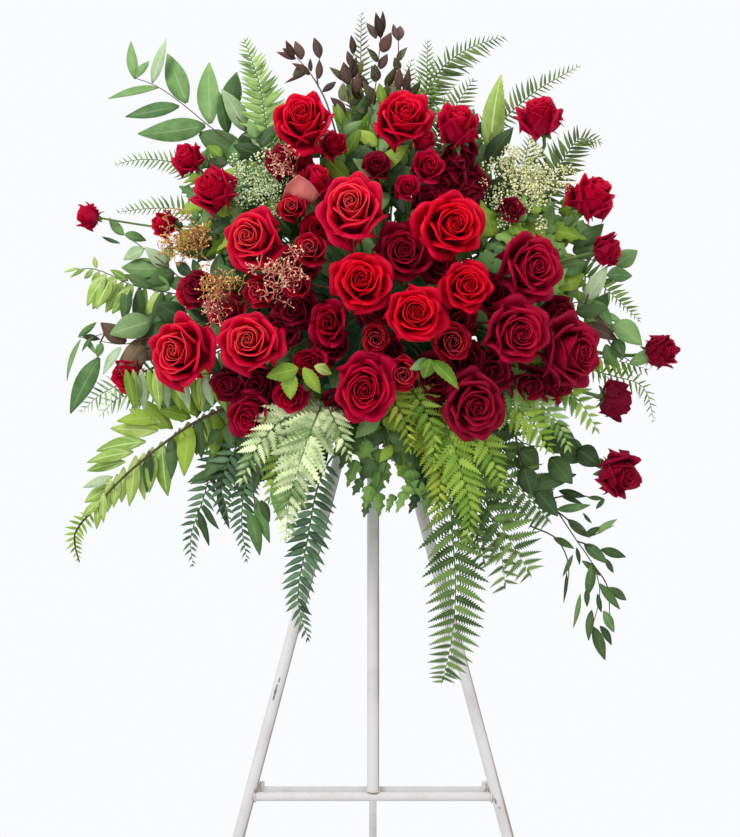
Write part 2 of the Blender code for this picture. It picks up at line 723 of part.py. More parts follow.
# Foliage envelopes: name, seat, tip (right, forward, up), the way the tip points, the way the
# blade faces, greatest half width, where that is along it, and colour.
FRONDS = (
    ("fern_top", ("top", -0.035, 0), (-0.017, 0.040, 0.430),
     (0, 0.1, 1), (0.1, -1, 0), 0.045, 0.5, FERN_GREEN),
    ("fern_top_right", ("top", 0.016, 0), (0.190, 0.035, 0.395),
     (1, 0, 0.3), (0.1, -1, 0), 0.050, 0.5, FERN_GREEN),
    ("fern_low_left", ("left", -0.064, 0), (-0.440, 0.120, -0.345),
     (-0.4, 0, -1), (0.1, -1, 0.3), 0.075, 0.5, FERN_GREEN),
    ("fern_low_centre_left", ("bottom", -0.055, 1), (-0.122, 0.235, -0.310),
     (0, -0.1, -1), (0, -1, 0.1), 0.060, 0.6, FERN_GREEN),
    ("fern_low_dark", ("bottom", -0.020, 0), (-0.095, 0.110, -0.470),
     (0.1, 0, -1), (0, -1, 0.1), 0.036, 0.6, FERN_GREEN),
    ("fern_low_right", ("bottom", 0.040, 1), (0.108, 0.225, -0.510),
     (-0.1, -0.05, -1), (0, -1, 0.1), 0.090, 0.5, FERN_GREEN),
    ("ruscus_top_left", ("top", -0.056, 0), (-0.345, 0.060, 0.360),
     (-1, 0, 0.7), (0.2, -1, 0.1), 0.070, 0.62, LEAF_GREEN),
    ("ruscus_low_right", ("right", -0.078, 0), (0.340, 0.110, -0.470),
     (0.2, 0, -1), (0.1, -1, 0.1), 0.040, 0.6, LEAF_GREEN),
    ("ruscus_left", ("left", 0.012, 0), (-0.440, 0.080, -0.110),
     (-0.5, 0, -1), (-0.2, -1, 0.3), 0.050, 0.6, LEAF_GREEN),
)
for name, seat, tip, tip_way, face, width, peak, colour in FRONDS:
    (entry, out), hole_depth = seat_of(seat, 0.0, 0.0)
    drill(entry, out, hole_depth, BRANCH_STEM, 6)
    way = Vector(tip_way).normalized()
    path = [entry - out * hole_depth, entry] + bezier(entry, out, spot(*tip), way, 9)
    widths = []
    for i in range(len(path)):
        t = max(0.0, (i - 1) / (len(path) - 2))
        rise = max(0.0, (t - BARE_STEM) / (peak - BARE_STEM))
        swell = math.sin(min(1.0, rise) * math.pi / 2) if t < peak else (1 - t) / (1 - peak)
        widths.append((BRANCH_STEM + width * swell * BLADE_FILL, BRANCH_STEM))
    foliage_object(name, path, widths, 6, colour, face=Vector(face).normalized())

# A clump swells above this share of its stem, and the power makes its shoulders full.
CLUMP_START = 0.45
CLUMP_POWER = 0.7

# Two upright clumps: dark sprigs at the top and a cream filler at the right.
CLUMPS = (
    ("dark_sprigs", ("top", 0.005, 1), (0.000, 0.100, 0.415), (0, 0.0, 1), 0.042, DARK_LEAF),
    ("cream_filler", ("top", 0.056, 0), (0.245, 0.110, 0.195), (1, -0.1, 0.2), 0.028, FILLER_CREAM),
)
for name, seat, tip, tip_way, width, colour in CLUMPS:
    (entry, out), hole_depth = seat_of(seat, 0.0, 0.0)
    drill(entry, out, hole_depth, BRANCH_STEM, 6)
    way = Vector(tip_way).normalized()
    path = [entry - out * hole_depth, entry] + bezier(entry, out, spot(*tip), way, 8)
    widths = []
    for i in range(len(path)):
        t = max(0.0, (i - 1) / (len(path) - 2))
        grown = max(0.0, (t - CLUMP_START) / (1 - CLUMP_START))
        swell = max(0.0, math.sin(math.pi * grown)) ** CLUMP_POWER
        radius = BRANCH_STEM + width * swell
        widths.append((radius, radius * 0.5 + BRANCH_STEM * 0.5))
    foliage_object(name, path, widths, 6, colour, face=Vector((0.1, -1.0, 0.1)))

# One cutter holds all the stem holes, which don't touch each other.
cutter = bmesh.new()
for hole in stem_holes:
    cutter.from_mesh(hole)
holes = bpy.data.meshes.new("stem_holes")
cutter.to_mesh(holes)
cutter.free()
combine(foam, guide("stem_holes", holes), "DIFFERENCE")
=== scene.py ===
import json
import math
import random
from functools import partial

import bpy
import numpy as np
from mathutils import Matrix, Vector


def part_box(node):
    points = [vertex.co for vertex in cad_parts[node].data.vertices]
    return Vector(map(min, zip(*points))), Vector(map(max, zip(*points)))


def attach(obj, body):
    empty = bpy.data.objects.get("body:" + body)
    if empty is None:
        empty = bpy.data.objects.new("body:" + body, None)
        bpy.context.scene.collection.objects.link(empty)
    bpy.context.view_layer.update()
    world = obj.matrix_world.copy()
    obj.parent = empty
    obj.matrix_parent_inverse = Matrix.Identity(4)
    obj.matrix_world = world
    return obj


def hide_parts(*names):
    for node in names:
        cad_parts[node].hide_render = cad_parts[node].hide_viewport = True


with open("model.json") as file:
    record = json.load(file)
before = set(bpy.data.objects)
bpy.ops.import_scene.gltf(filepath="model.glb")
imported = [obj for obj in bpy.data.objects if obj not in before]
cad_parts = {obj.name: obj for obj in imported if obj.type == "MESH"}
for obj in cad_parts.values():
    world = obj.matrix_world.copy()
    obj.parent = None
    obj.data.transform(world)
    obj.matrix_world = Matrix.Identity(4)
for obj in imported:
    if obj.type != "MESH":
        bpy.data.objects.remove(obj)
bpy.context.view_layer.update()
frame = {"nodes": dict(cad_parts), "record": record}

# ----------------------------------------
# The view, the floor and the light
# The stand is seen straight on from chest height, a little from above. It stands on a pale
# studio floor, and large soft lamps light it from the front, so that shadows stay open.
# ----------------------------------------
LEAN = math.radians(9.0)
FOCUS_HEIGHT = 1.400
mounts = {m["name"]: Vector(m["pos_m"]) for m in frame["record"]["mounts"]}
FOCUS = Vector((0.0, mounts["foot_left_base"].y + FOCUS_HEIGHT * math.tan(LEAN), FOCUS_HEIGHT))
CAMERA_DISTANCE = 3.28
CAMERA_HEIGHT = 1.420
CAMERA_TILT = math.radians(3.0)
LENS = 95.6
FLOOR_RADIUS = 2.2

camera_data = bpy.data.cameras.new("camera")
camera_data.lens = LENS
camera = bpy.data.objects.new("camera", camera_data)
camera.location = (-0.0045, FOCUS.y - CAMERA_DISTANCE, CAMERA_HEIGHT)
camera.rotation_euler = (math.pi / 2 - CAMERA_TILT, 0.0, 0.0)
bpy.context.scene.collection.objects.link(camera)
bpy.context.scene.camera = camera
bpy.context.scene.view_settings.view_transform = "Standard"

bpy.ops.mesh.primitive_circle_add(
    vertices=96, radius=FLOOR_RADIUS, fill_type="NGON", location=(0.0, 0.0, -0.0005)
)
floor = bpy.context.object
floor.name = "floor"
bpy.ops.object.transform_apply(location=True, rotation=True, scale=True)
floor_paper = bpy.data.materials.new("floor_paper")
floor_paper.use_nodes = True
paper = floor_paper.node_tree.nodes["Principled BSDF"]
paper.inputs["Base Color"].default_value = (0.64, 0.64, 0.65, 1.0)
paper.inputs["Roughness"].default_value = 0.9
floor.data.materials.append(floor_paper)

world = bpy.data.worlds.new("studio")
bpy.context.scene.world = world
world.use_nodes = True
sky = world.node_tree.nodes
to_world = world.node_tree.links
seen = sky["Background"]
seen.inputs["Color"].default_value = (0.955, 0.965, 0.985, 1.0)
around = sky.new("ShaderNodeBackground")
around.inputs["Color"].default_value = (1.0, 0.985, 0.965, 1.0)
around.inputs["Strength"].default_value = 0.95
pick = sky.new("ShaderNodeMixShader")
path_of_ray = sky.new("ShaderNodeLightPath")
to_world.new(path_of_ray.outputs["Is Camera Ray"], pick.inputs["Fac"])
to_world.new(around.outputs[0], pick.inputs[1])
to_world.new(seen.outputs[0], pick.inputs[2])
to_world.new(pick.outputs[0], sky["World Output"].inputs["Surface"])

# Lamps: name, place from the focus, width in metres, power in watts.
for name, place, width, power in (
    ("key_lamp", (-1.7, -2.2, 1.7), 1.3, 60.0),
    ("fill_lamp", (1.9, -2.0, 0.5), 1.8, 9.0),
    ("top_lamp", (0.2, 0.2, 2.2), 1.6, 30.0),
):
    lamp_data = bpy.data.lights.new(name, "AREA")
    lamp_data.shape = "DISK"
    lamp_data.size = width
    lamp_data.energy = power
    lamp = bpy.data.objects.new(name, lamp_data)
    lamp.location = FOCUS + Vector(place)
    lamp.rotation_euler = (-Vector(place)).to_track_quat("-Z", "Y").to_euler()
    bpy.context.scene.collection.objects.link(lamp)

# ----------------------------------------
# The easel: legs, post, rails, brackets and feet
# Welded steel tube, brushed by hand in white paint with grey grime in patches and small chips at the
# joints, and a grey-brown strip of painted shade down the right side of each tube. The welds are beads run
# round each joint before painting.
# ----------------------------------------


def add(nodes, kind, **settings):
    """A new node, its properties and its unlinked sockets set by name."""
    made = nodes.new("ShaderNode" + kind)
    for key, value in settings.items():
        if hasattr(made, key):
            setattr(made, key, value)
        else:
            made.inputs[key.replace("_", " ")].default_value = value
    return made


def effect_group(name, inputs):
    """A node group with inputs (name, value or colour) that gives colour, roughness and height."""
    group = bpy.data.node_groups.new(name, "ShaderNodeTree")
    for label, value in inputs:
        kind = "NodeSocketColor" if isinstance(value, tuple) else "NodeSocketFloat"
        socket = group.interface.new_socket(label, in_out="INPUT", socket_type=kind)
        socket.default_value = value
    for label, kind in (("Color", "Color"), ("Roughness", "Float"), ("Height", "Float")):
        group.interface.new_socket(label, in_out="OUTPUT", socket_type="NodeSocket" + kind)
    return group, group.nodes.new("NodeGroupInput").outputs


def give(group, *sockets):
    """Joins a group's colour, roughness and height to what it puts out."""
    result = group.nodes.new("NodeGroupOutput")
    for source, target in zip(sockets, result.inputs):
        group.links.new(source, target)


def step_between(group, low, high, source):
    """0 below low, 1 above high and smooth between, for a value socket."""
    ramp = add(
        group.nodes, "MapRange", interpolation_type="SMOOTHSTEP", From_Min=low, From_Max=high
    )
    group.links.new(source, ramp.inputs["Value"])
    return ramp.outputs["Result"]


def blend_colours(group, factor, one, other, blend="MIX"):
    """A colour mix. factor, one and other are sockets or plain values."""
    mix = add(group.nodes, "Mix", data_type="RGBA", blend_type=blend)
    for socket, value in ((mix.inputs[0], factor), (mix.inputs[6], one), (mix.inputs[7], other)):
        if isinstance(value, (int, float, tuple)):
            socket.default_value = value
        else:
            group.links.new(value, socket)
    return mix.outputs[2]


def calculate(group, operation, one, other=0.5, third=0.0):
    """A value node of one, two or three inputs. Each is a socket or a plain number."""
    node = add(group.nodes, "Math", operation=operation)
    for socket, value in zip(node.inputs, (one, other, third)):
        if isinstance(value, (int, float)):
            socket.default_value = value
        else:
            group.links.new(value, socket)
    return node.outputs[0]


def noise_on(group, coords, scale, detail=3.0, rough=0.55):
    """A cloudy value between 0 and 1 that changes from place to place."""
    texture = add(group.nodes, "TexNoise", Scale=scale, Detail=detail, Roughness=rough)
    group.links.new(coords, texture.inputs["Vector"])
    return texture.outputs["Fac"]


def tools_for(group):
    """The four makers above, each with its group filled in."""
    return [partial(tool, group) for tool in (calculate, step_between, blend_colours, noise_on)]


worn, given = effect_group("worn_finish", [
    ("Base", (0.8, 0.8, 0.8, 1.0)), ("Grime", (0.3, 0.28, 0.26, 1.0)), ("Amount", 0.5),
    ("Speckle", 0.5), ("Shine", 0.4), ("Worn edges", 0.25),
])
maths, step, blend, noise = tools_for(worn)
place_on = add(worn.nodes, "TexCoord").outputs["Object"]
patches = step(0.46, 0.70, noise(place_on, 9.0, 5.0, 0.65))
dots = step(0.66, 0.74, noise(place_on, 420.0, 2.0))
streaks = noise(place_on, 55.0, 4.0, 0.7)
edge = step(0.52, 0.60, add(worn.nodes, "NewGeometry").outputs["Pointiness"])
grime = maths("MULTIPLY", maths("MULTIPLY", patches, given["Amount"]), streaks)
dirty = blend(grime, given["Base"], given["Grime"])
dirty = blend(maths("MULTIPLY", dots, given["Speckle"]), dirty, given["Grime"])
dirty = blend(maths("MULTIPLY", edge, given["Worn edges"]), dirty, (1.0, 1.0, 1.0, 1.0))
give(
    worn, dirty, maths("MULTIPLY_ADD", streaks, 0.25, given["Shine"]),
    maths("MULTIPLY_ADD", dots, 0.4, noise(place_on, 160.0, 3.0)),
)


def material_with(name, group, bump, values, **constants):
    """A material whose colour, roughness and bump come from a group placed in it."""
    made = bpy.data.materials.new(name)
    made.use_nodes = True
    tree = made.node_tree
    shader = tree.nodes["Principled BSDF"]
    effect = add(tree.nodes, "Group", node_tree=group)
    for key, value in values.items():
        effect.inputs[key].default_value = (*value, 1.0) if isinstance(value, tuple) else value
    for key, value in constants.items():
        shader.inputs[key.replace("_", " ")].default_value = value
    raised = add(tree.nodes, "Bump", Strength=bump[0], Distance=bump[1])
    for source, target in (
        (effect.outputs["Color"], shader.inputs["Base Color"]),
        (effect.outputs["Roughness"], shader.inputs["Roughness"]),
        (effect.outputs["Height"], raised.inputs["Height"]),
        (raised.outputs["Normal"], shader.inputs["Normal"]),
    ):
        tree.links.new(source, target)
    return made


def worn_material(name, bump, base, grime, amount, speckle, shine, edges=0.25, **constants):
    """A finish with grime in patches, specks and rubbed edges."""
    return material_with(
        name, worn, bump,
        {"Base": base, "Grime": grime, "Amount": amount, "Speckle": speckle, "Shine": shine,
         "Worn edges": edges},
        **constants,
    )


def coat(thing, *materials):
    """Only these materials on a piece."""
    thing.data.materials.clear()
    for material in materials:
        thing.data.materials.append(material)
    return thing


def dress(material, *names):
    """Gives carried-over solids a material."""
    for name in names:
        coat(frame["nodes"][name], material)


white_paint = worn_material(
    "white_brushed_paint", (0.35, 0.0006), (0.440, 0.433, 0.444), (0.22, 0.165, 0.135),
    0.9, 0.35, 0.32,
)
foot_rubber = worn_material(
    "pale_foot_rubber", (0.5, 0.0005), (0.62, 0.62, 0.64), (0.20, 0.19, 0.18), 0.9, 0.4, 0.65
)
pin_zinc = worn_material(
    "zinc_pin", (0.25, 0.0003), (0.55, 0.56, 0.58), (0.24, 0.23, 0.22), 0.8, 0.3, 0.28,
    Metallic=1.0,
)
dress(
    white_paint, "front_leg_left", "front_leg_right", "centre_post", "front_rail", "rear_rail",
    "rail_bracket_left", "rail_bracket_right", "head_bracket", "rear_leg",
)
dress(foot_rubber, "foot_left", "foot_right", "foot_rear")
dress(pin_zinc, "hinge_pin")
for part in frame["nodes"].values():
    part.select_set(False)

# Weld beads and chipped paint
# Each bead is a lumpy ring of weld metal, painted over with the tubes. Where the stand has been
# knocked, the paint has flaked off down to the dark steel.
EASEL = Matrix.Translation((0.0, mounts["foot_left_base"].y, 0.0)) @ Matrix.Rotation(-LEAN, 4, "X")
LEG_SLOPE = 0.266 * math.cos(LEAN)
RAIL_AT, RAIL_RADIUS, POST_RADIUS, LEG_RADIUS = 0.7170, 0.0065, 0.00875, 0.0085
RAIL_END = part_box("front_rail")[1].x


def bare(thing):
    """Nothing selected, then only this."""
    bpy.ops.object.select_all(action="DESELECT")
    thing.select_set(True)
    bpy.context.view_layer.objects.active = thing


def joined(things, name):
    """One object from several."""
    bpy.ops.object.select_all(action="DESELECT")
    for thing in things:
        thing.select_set(True)
    bpy.context.view_layer.objects.active = things[0]
    if len(things) > 1:
        bpy.ops.object.join()
    things[0].name = name
    things[0].data.name = name
    return things[0]


def turn_to(way):
    """The turn that points Z along a way."""
    return way.to_track_quat("Z", "Y").to_matrix().to_4x4()


def stray(luck, far):
    """A small random step, up to far each way."""
    return Vector([luck.uniform(-far, far) for _ in range(3)])


def put_points(thing, points):
    """Moves the points of a mesh."""
    thing.data.vertices.foreach_set("co", np.asarray(points, np.float32).ravel())
    thing.data.update()


def points_of(thing):
    """The points of a mesh, a row for each."""
    points = np.empty(len(thing.data.vertices) * 3, np.float32)
    thing.data.vertices.foreach_get("co", points)
    return points.reshape(-1, 3).astype(float)


def flat_sheet(name, cuts, rows):
    """A grid two units wide, to be bent to shape."""
    bpy.ops.mesh.primitive_grid_add(x_subdivisions=cuts, y_subdivisions=rows, size=2)
    bpy.context.object.name = name
    return bpy.context.object


def thicken(thing, thickness):
    """Gives a sheet its thickness and smooth shading."""
    bare(thing)
    wall = thing.modifiers.new("wall", "SOLIDIFY")
    wall.thickness = thickness
    wall.offset = 0.0
    bpy.ops.object.modifier_apply(modifier="wall")
    bpy.ops.object.shade_smooth()
    return thing


def weld_bead(seed, middle, axis, radius, thickness):
    """A ring of weld metal round an axis, with the ripple that each pass of the torch leaves."""
    bpy.ops.mesh.primitive_torus_add(
        major_segments=44, minor_segments=8, major_radius=radius, minor_radius=thickness
    )
    bead = bpy.context.object
    flat = points_of(bead)
    luck = random.Random(seed)
    around = np.arctan2(flat[:, 1], flat[:, 0])
    ripple = 1 + 0.22 * np.sin(around * 15 + luck.uniform(0, 6)) + 0.25 * np.sin(
        around * 3 + luck.uniform(0, 6)
    )
    ring = np.stack([np.cos(around) * radius, np.sin(around) * radius, around * 0], 1)
    put_points(bead, ring + (flat - ring) * ripple[:, None])
    bead.data.transform(EASEL @ Matrix.Translation(middle) @ turn_to(Vector(axis)))
    bpy.ops.object.shade_smooth()
    bead.name = f"weld_{seed}"
    return coat(bead, welded_steel)


welded_steel = worn_material(
    "painted_weld", (0.9, 0.0008), (0.52, 0.47, 0.42), (0.20, 0.11, 0.07), 1.0, 1.0, 0.45
)
bracket_ends = [
    EASEL.inverted() @ ((low + high) / 2)
    for low, high in (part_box("rail_bracket_left"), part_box("rail_bracket_right"))
]
BAR_WELD = Vector((0.004, 0, 0))
beads = joined([
    weld_bead(4, bracket_ends[0] + BAR_WELD, (1, 0, 0), 0.0055, 0.0026),
    weld_bead(5, bracket_ends[1] - BAR_WELD, (1, 0, 0), 0.0055, 0.0026),
    weld_bead(1, (-RAIL_END + 0.0008, 0, RAIL_AT), (1, 0, 0), RAIL_RADIUS, 0.0017),
    weld_bead(2, (RAIL_END - 0.0008, 0, RAIL_AT), (1, 0, 0), RAIL_RADIUS, 0.0017),
    weld_bead(3, (0, 0, RAIL_AT + RAIL_RADIUS + 0.0008), (0, 0, 1), POST_RADIUS, 0.0014),
], "weld_beads")
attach(beads, "front_frame")

FLAKE_LIFT, FLAKE_WALL = 0.00025, 0.0002
chipped_steel = worn_material(
    "chipped_steel", (0.6, 0.0004), (0.13, 0.14, 0.18), (0.30, 0.27, 0.27), 0.9, 0.8, 0.45
)


def chip(seed, side, height, length, bearing, width, material=chipped_steel, tube=LEG_RADIUS):
    """A flake on a leg, or on the post for side 0. bearing turns right from the front, in degrees."""
    luck = random.Random(seed)
    flake = flat_sheet(f"flake_{seed}", 14, 4)
    flat = points_of(flake)
    along, across = flat[:, 0], flat[:, 1]
    leg_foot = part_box("front_leg_right")[1].x - LEG_RADIUS * math.hypot(1, LEG_SLOPE)
    above_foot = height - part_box("front_leg_right")[0].z / math.cos(LEAN)
    middle = Vector((side * (leg_foot - LEG_SLOPE * above_foot), 0, height))
    up = Vector((-side * LEG_SLOPE, 0, 1)).normalized()
    right = up.cross(Vector((0, 1, 0))) * -1
    outline = np.sqrt(np.clip(1 - along**2, 0.02, 1)) * (
        1 + 0.3 * np.sin(along * 7 + luck.uniform(0, 6)) + 0.2 * np.sin(along * 17 + luck.uniform(0, 6))
    )
    turn = math.radians(bearing) + across * outline * width / 2 / tube
    radius = tube + FLAKE_LIFT
    points = np.array(middle) + np.outer(along * length / 2, up)
    points += np.outer(np.sin(turn) * radius, right) + np.outer(np.cos(turn) * radius, (0, -1, 0))
    put_points(flake, points)
    thicken(flake, FLAKE_WALL)
    flake.data.transform(EASEL)
    return coat(flake, material)


chips = joined([
    chip(1, -1, 0.866, 0.025, -14, 0.0034), chip(2, -1, 0.884, 0.008, -6, 0.002),
    chip(3, 1, 0.712, 0.009, -30, 0.003), chip(4, 1, 0.702, 0.004, -8, 0.002),
    chip(5, -1, 0.727, 0.006, 40, 0.002), chip(6, 1, 0.950, 0.005, 35, 0.0015),
], "paint_chips")
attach(chips, "front_frame")

# A grey-brown strip runs down the right side of each tube, the side away from the key lamp: painted shade.
painted_side_shade = worn_material(
    "painted_side_shade", (0.8, 0.0006), (0.37, 0.32, 0.285), (0.15, 0.10, 0.07), 1.0, 1.0, 0.5, 0.0
)
side_shade_strips = joined([
    chip(7, -1, 0.620, 1.16, 66, 0.0042, painted_side_shade),
    chip(8, 1, 0.620, 1.16, 66, 0.0042, painted_side_shade),
    chip(9, 0, 1.000, 0.55, 66, 0.0042, painted_side_shade, POST_RADIUS),
], "tube_side_shade")
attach(side_shade_strips, "front_frame")

# ----------------------------------------
# The floral foam and its tray
# A brick of fine-celled green foam, soaked and pushed into a moulded green tray. Two ties
# through the tray's back hold it to the post, and every stem is pushed into the foam.
# ----------------------------------------
green_plastic = worn_material(
    "moulded_green_plastic", (0.3, 0.0004), (0.030, 0.115, 0.050), (0.10, 0.13, 0.08),
    0.6, 0.25, 0.40, 0.03, Specular_IOR_Level=0.35,
)
wet_foam = worn_material(
    "wet_floral_foam", (0.9, 0.0010), (0.035, 0.13, 0.06), (0.015, 0.05, 0.025),
    0.9, 0.9, 0.75, 0.0,
)
dress(green_plastic, "foam_tray", "tray_tie_lower", "tray_tie_upper")
dress(wet_foam, "floral_foam")

# ----------------------------------------
# Large red roses
# High-centred garden roses: tight spiral petals in the middle, then broad guard petals with
# edges that roll back. Each head sits on a green calyx and a stem pushed into the foam.
# ----------------------------------------
FOAM_HALF = (0.100, 0.115)
FOAM_BACK, FOAM_FRONT = -0.02435, -0.11435
FOAM_LEVEL = 1.417
FRONT_SPREAD, FRONT_LEVEL = 0.36, FOAM_LEVEL - 0.005
PUSHED_IN = 0.02
STRAIGHT_SHARE = 0.36
STRAIGHT_OUT = 0.03
SIDE_ROWS = (FOAM_BACK - 0.026, FOAM_BACK - 0.042)


def spot(x, depth, z):
    """A point given from the focus: right, forward and up, in millimetres."""
    return FOCUS + Vector((x / 1000, -depth / 1000, z / 1000))


def facing(yaw, pitch):
    """The way a flower looks: ahead, turned right by yaw and up by pitch, in degrees."""
    a, b = math.radians(yaw), math.radians(pitch)
    return Vector((math.sin(a) * math.cos(b), -math.cos(a) * math.cos(b), math.sin(b)))


def seat_in_foam(seat, x=0, z=0):
    """Where a stem goes into the foam and the way it leaves. A seat is a side of the foam with
    the millimetres along it and the row, or the front with the millimetres right and up.
    """
    side, along, row = ("front", x, z) if seat == "front" else seat
    along /= 1000
    if side == "front":
        entry = (along * FRONT_SPREAD, FOAM_FRONT, FRONT_LEVEL + row / 1000 * FRONT_SPREAD)
        out = (0, -1, 0)
    else:
        y = SIDE_ROWS[row]
        entry, out = {
            "left": ((-FOAM_HALF[0], y, FOAM_LEVEL + along), (-1, 0, 0)),
            "right": ((FOAM_HALF[0], y, FOAM_LEVEL + along), (1, 0, 0)),
            "top": ((along, y, FOAM_LEVEL + FOAM_HALF[1]), (0, 0, 1)),
            "bottom": ((along, y, FOAM_LEVEL - FOAM_HALF[1]), (0, 0, -1)),
        }[side]
    return EASEL @ Vector(entry), EASEL.to_3x3() @ Vector(out)


def smooth_path(start, out, end, arrival, count):
    """Points on a smooth stem that leaves along out and arrives along arrival."""
    length = (end - start).length * STRAIGHT_SHARE
    a, b = start + out * length, end - arrival * length
    return [
        start * (1 - t) ** 3 + a * 3 * t * (1 - t) ** 2 + b * 3 * t * t * (1 - t) + end * t**3
        for t in (i / count for i in range(count + 1))
    ]


def copy_of(source, matrix, name="copy"):
    """A copy with its own mesh, put in place in its mesh."""
    made = source.copy()
    made.data = source.data.copy()
    made.name = name
    made.data.transform(matrix)
    if matrix.determinant() < 0:
        made.data.flip_normals()
    bpy.context.scene.collection.objects.link(made)
    return made


def mark(thing, label, value):
    """A value kept on every point of a mesh, for its material to read."""
    layer = thing.data.attributes.get(label) or thing.data.attributes.new(label, "FLOAT", "POINT")
    layer.data.foreach_set("value", np.full(len(thing.data.vertices), value, np.float32))


def stem_along(name, points, radii, material, sides=2):
    """A round stem with closed ends along points, thick as radii say."""
    data = bpy.data.curves.new(name, "CURVE")
    data.dimensions = "3D"
    data.bevel_depth = 1.0
    data.bevel_resolution = sides
    data.use_fill_caps = True
    line = data.splines.new("POLY")
    line.points.add(len(points) - 1)
    spread = np.interp(np.linspace(0, 1, len(points)), np.linspace(0, 1, len(radii)), radii)
    for target, point, radius in zip(line.points, points, spread):
        target.co = (*point, 1.0)
        target.radius = float(radius)
    made = bpy.data.objects.new(name, data)
    bpy.context.scene.collection.objects.link(made)
    bare(made)
    bpy.ops.object.convert(target="MESH")
    made = bpy.context.object
    bpy.ops.object.shade_smooth()
    mark(made, "ring", 0.5)
    mark(made, "tone", 0.5)
    if not made.data.uv_layers:
        made.data.uv_layers.new(name="UVMap")
    return coat(made, material)


def flesh_group(name, inputs):
    """A group for petals or leaves, with its makers, its sheet's two ways and where it lies."""
    group, given = effect_group(name, inputs)
    sheet = add(group.nodes, "SeparateXYZ")
    group.links.new(add(group.nodes, "UVMap").outputs[0], sheet.inputs[0])
    place_on = add(group.nodes, "TexCoord").outputs["Object"]
    return group, given, tools_for(group), sheet.outputs, place_on


petal_flesh, given, tools, (across, along, _), place_on = flesh_group("petal_flesh", [
    ("Deep", (0.1, 0.0, 0.01, 1.0)), ("Bright", (0.8, 0.0, 0.02, 1.0)),
    ("Guard", (0.4, 0.0, 0.03, 1.0)), ("Rim", (0.9, 0.1, 0.1, 1.0)), ("Rim amount", 0.3),
])
maths, step, blend, noise = tools
ring = add(petal_flesh.nodes, "Attribute", attribute_name="ring").outputs["Fac"]
cloudy = noise(place_on, 55.0, 3.0)
vein_place = add(petal_flesh.nodes, "CombineXYZ")
for source, stretch, target in zip((across, along, ring), (34.0, 2.5, 90.0), vein_place.inputs):
    petal_flesh.links.new(maths("MULTIPLY", source, stretch), target)
veins = noise(vein_place.outputs[0], 1.0, 2.0)
# Painted shade: each petal darkens towards its foot, where it lies deep in the head.
# Only the end of an inner petal is bright, and nearly the whole of a guard petal.
painted_shade_fade = step(0.72, 1.02, maths("MULTIPLY_ADD", ring, 0.42, along))
colour = blend(painted_shade_fade, given["Deep"], given["Bright"])
# Guard petals have their own deeper crimson, darkened further as painted shade because they sit outside and
# behind the rest.
guard = blend(painted_shade_fade, given["Deep"], given["Guard"])
colour = blend(maths("MULTIPLY", step(0.50, 0.95, ring), 0.9), colour, guard)
shaded = blend(1.0, colour, (0.66, 0.60, 0.70, 1.0), "MULTIPLY")
colour = blend(maths("MULTIPLY", step(0.35, 0.75, cloudy), 0.5), colour, shaded)
vein_dark = blend(1.0, colour, (0.74, 0.62, 0.70, 1.0), "MULTIPLY")
colour = blend(maths("MULTIPLY", step(0.5, 0.7, veins), 0.42), colour, vein_dark)
# The lip: a thin lighter edge at each petal's end, strongest on inner petals. It is partly the petal's own
# edge colour (gold or pink on some kinds) and partly a painted highlight where the rim catches the light.
inner = maths("SUBTRACT", 1.0, step(0.50, 0.75, ring))
lip = maths("MULTIPLY", step(0.965, 1.0, along), maths("MULTIPLY_ADD", inner, 0.8, 0.2))
colour = blend(maths("MULTIPLY", lip, given["Rim amount"]), colour, given["Rim"])
give(
    petal_flesh, colour, maths("MULTIPLY_ADD", veins, 0.25, 0.38),
    maths("MULTIPLY_ADD", cloudy, 0.8, veins),
)


def petal_material(name, deep, bright, guard, rim, rim_amount=0.30):
    """A petal's colours: painted crevice shade deep in the head, its lit ends, the guard petals (in part
    painted shade) and the lip (in part a painted highlight).
    """
    return material_with(
        name, petal_flesh, (0.45, 0.0007),
        {"Deep": deep, "Bright": bright, "Guard": guard, "Rim": rim, "Rim amount": rim_amount},
        Sheen_Weight=0.08, Sheen_Roughness=0.5, Sheen_Tint=(1.0, 0.01, 0.06, 1.0),
        Specular_IOR_Level=0.06,
    )


# Each row: name, painted crevice shade, bright end, guard petal colour, lip colour and, where given, the lip
# amount.
SCARLET, RED, RED_GOLD, CRIMSON, WINE, DARK_WINE, MAROON = (petal_material(*row) for row in (
    ("scarlet_petal", (0.43, 0.010, 0.050), (0.70, 0.001, 0.016), (0.50, 0.001, 0.022),
     (0.86, 0.015, 0.035)),
    ("red_petal", (0.39, 0.009, 0.048), (0.63, 0.001, 0.022), (0.45, 0.001, 0.026),
     (0.80, 0.025, 0.05)),
    ("gold_edged_petal", (0.42, 0.012, 0.055), (0.68, 0.002, 0.030), (0.50, 0.002, 0.034),
     (0.82, 0.20, 0.14), 0.42),
    ("crimson_petal", (0.34, 0.009, 0.050), (0.50, 0.001, 0.028), (0.37, 0.001, 0.032),
     (0.62, 0.02, 0.05)),
    ("wine_petal", (0.28, 0.009, 0.042), (0.40, 0.002, 0.027), (0.29, 0.002, 0.029),
     (0.50, 0.02, 0.05)),
    ("dark_wine_petal", (0.24, 0.009, 0.040), (0.31, 0.003, 0.025), (0.23, 0.003, 0.027),
     (0.38, 0.015, 0.04)),
    ("maroon_petal", (0.16, 0.008, 0.032), (0.24, 0.004, 0.023), (0.18, 0.004, 0.022),
     (0.34, 0.012, 0.035)),
))

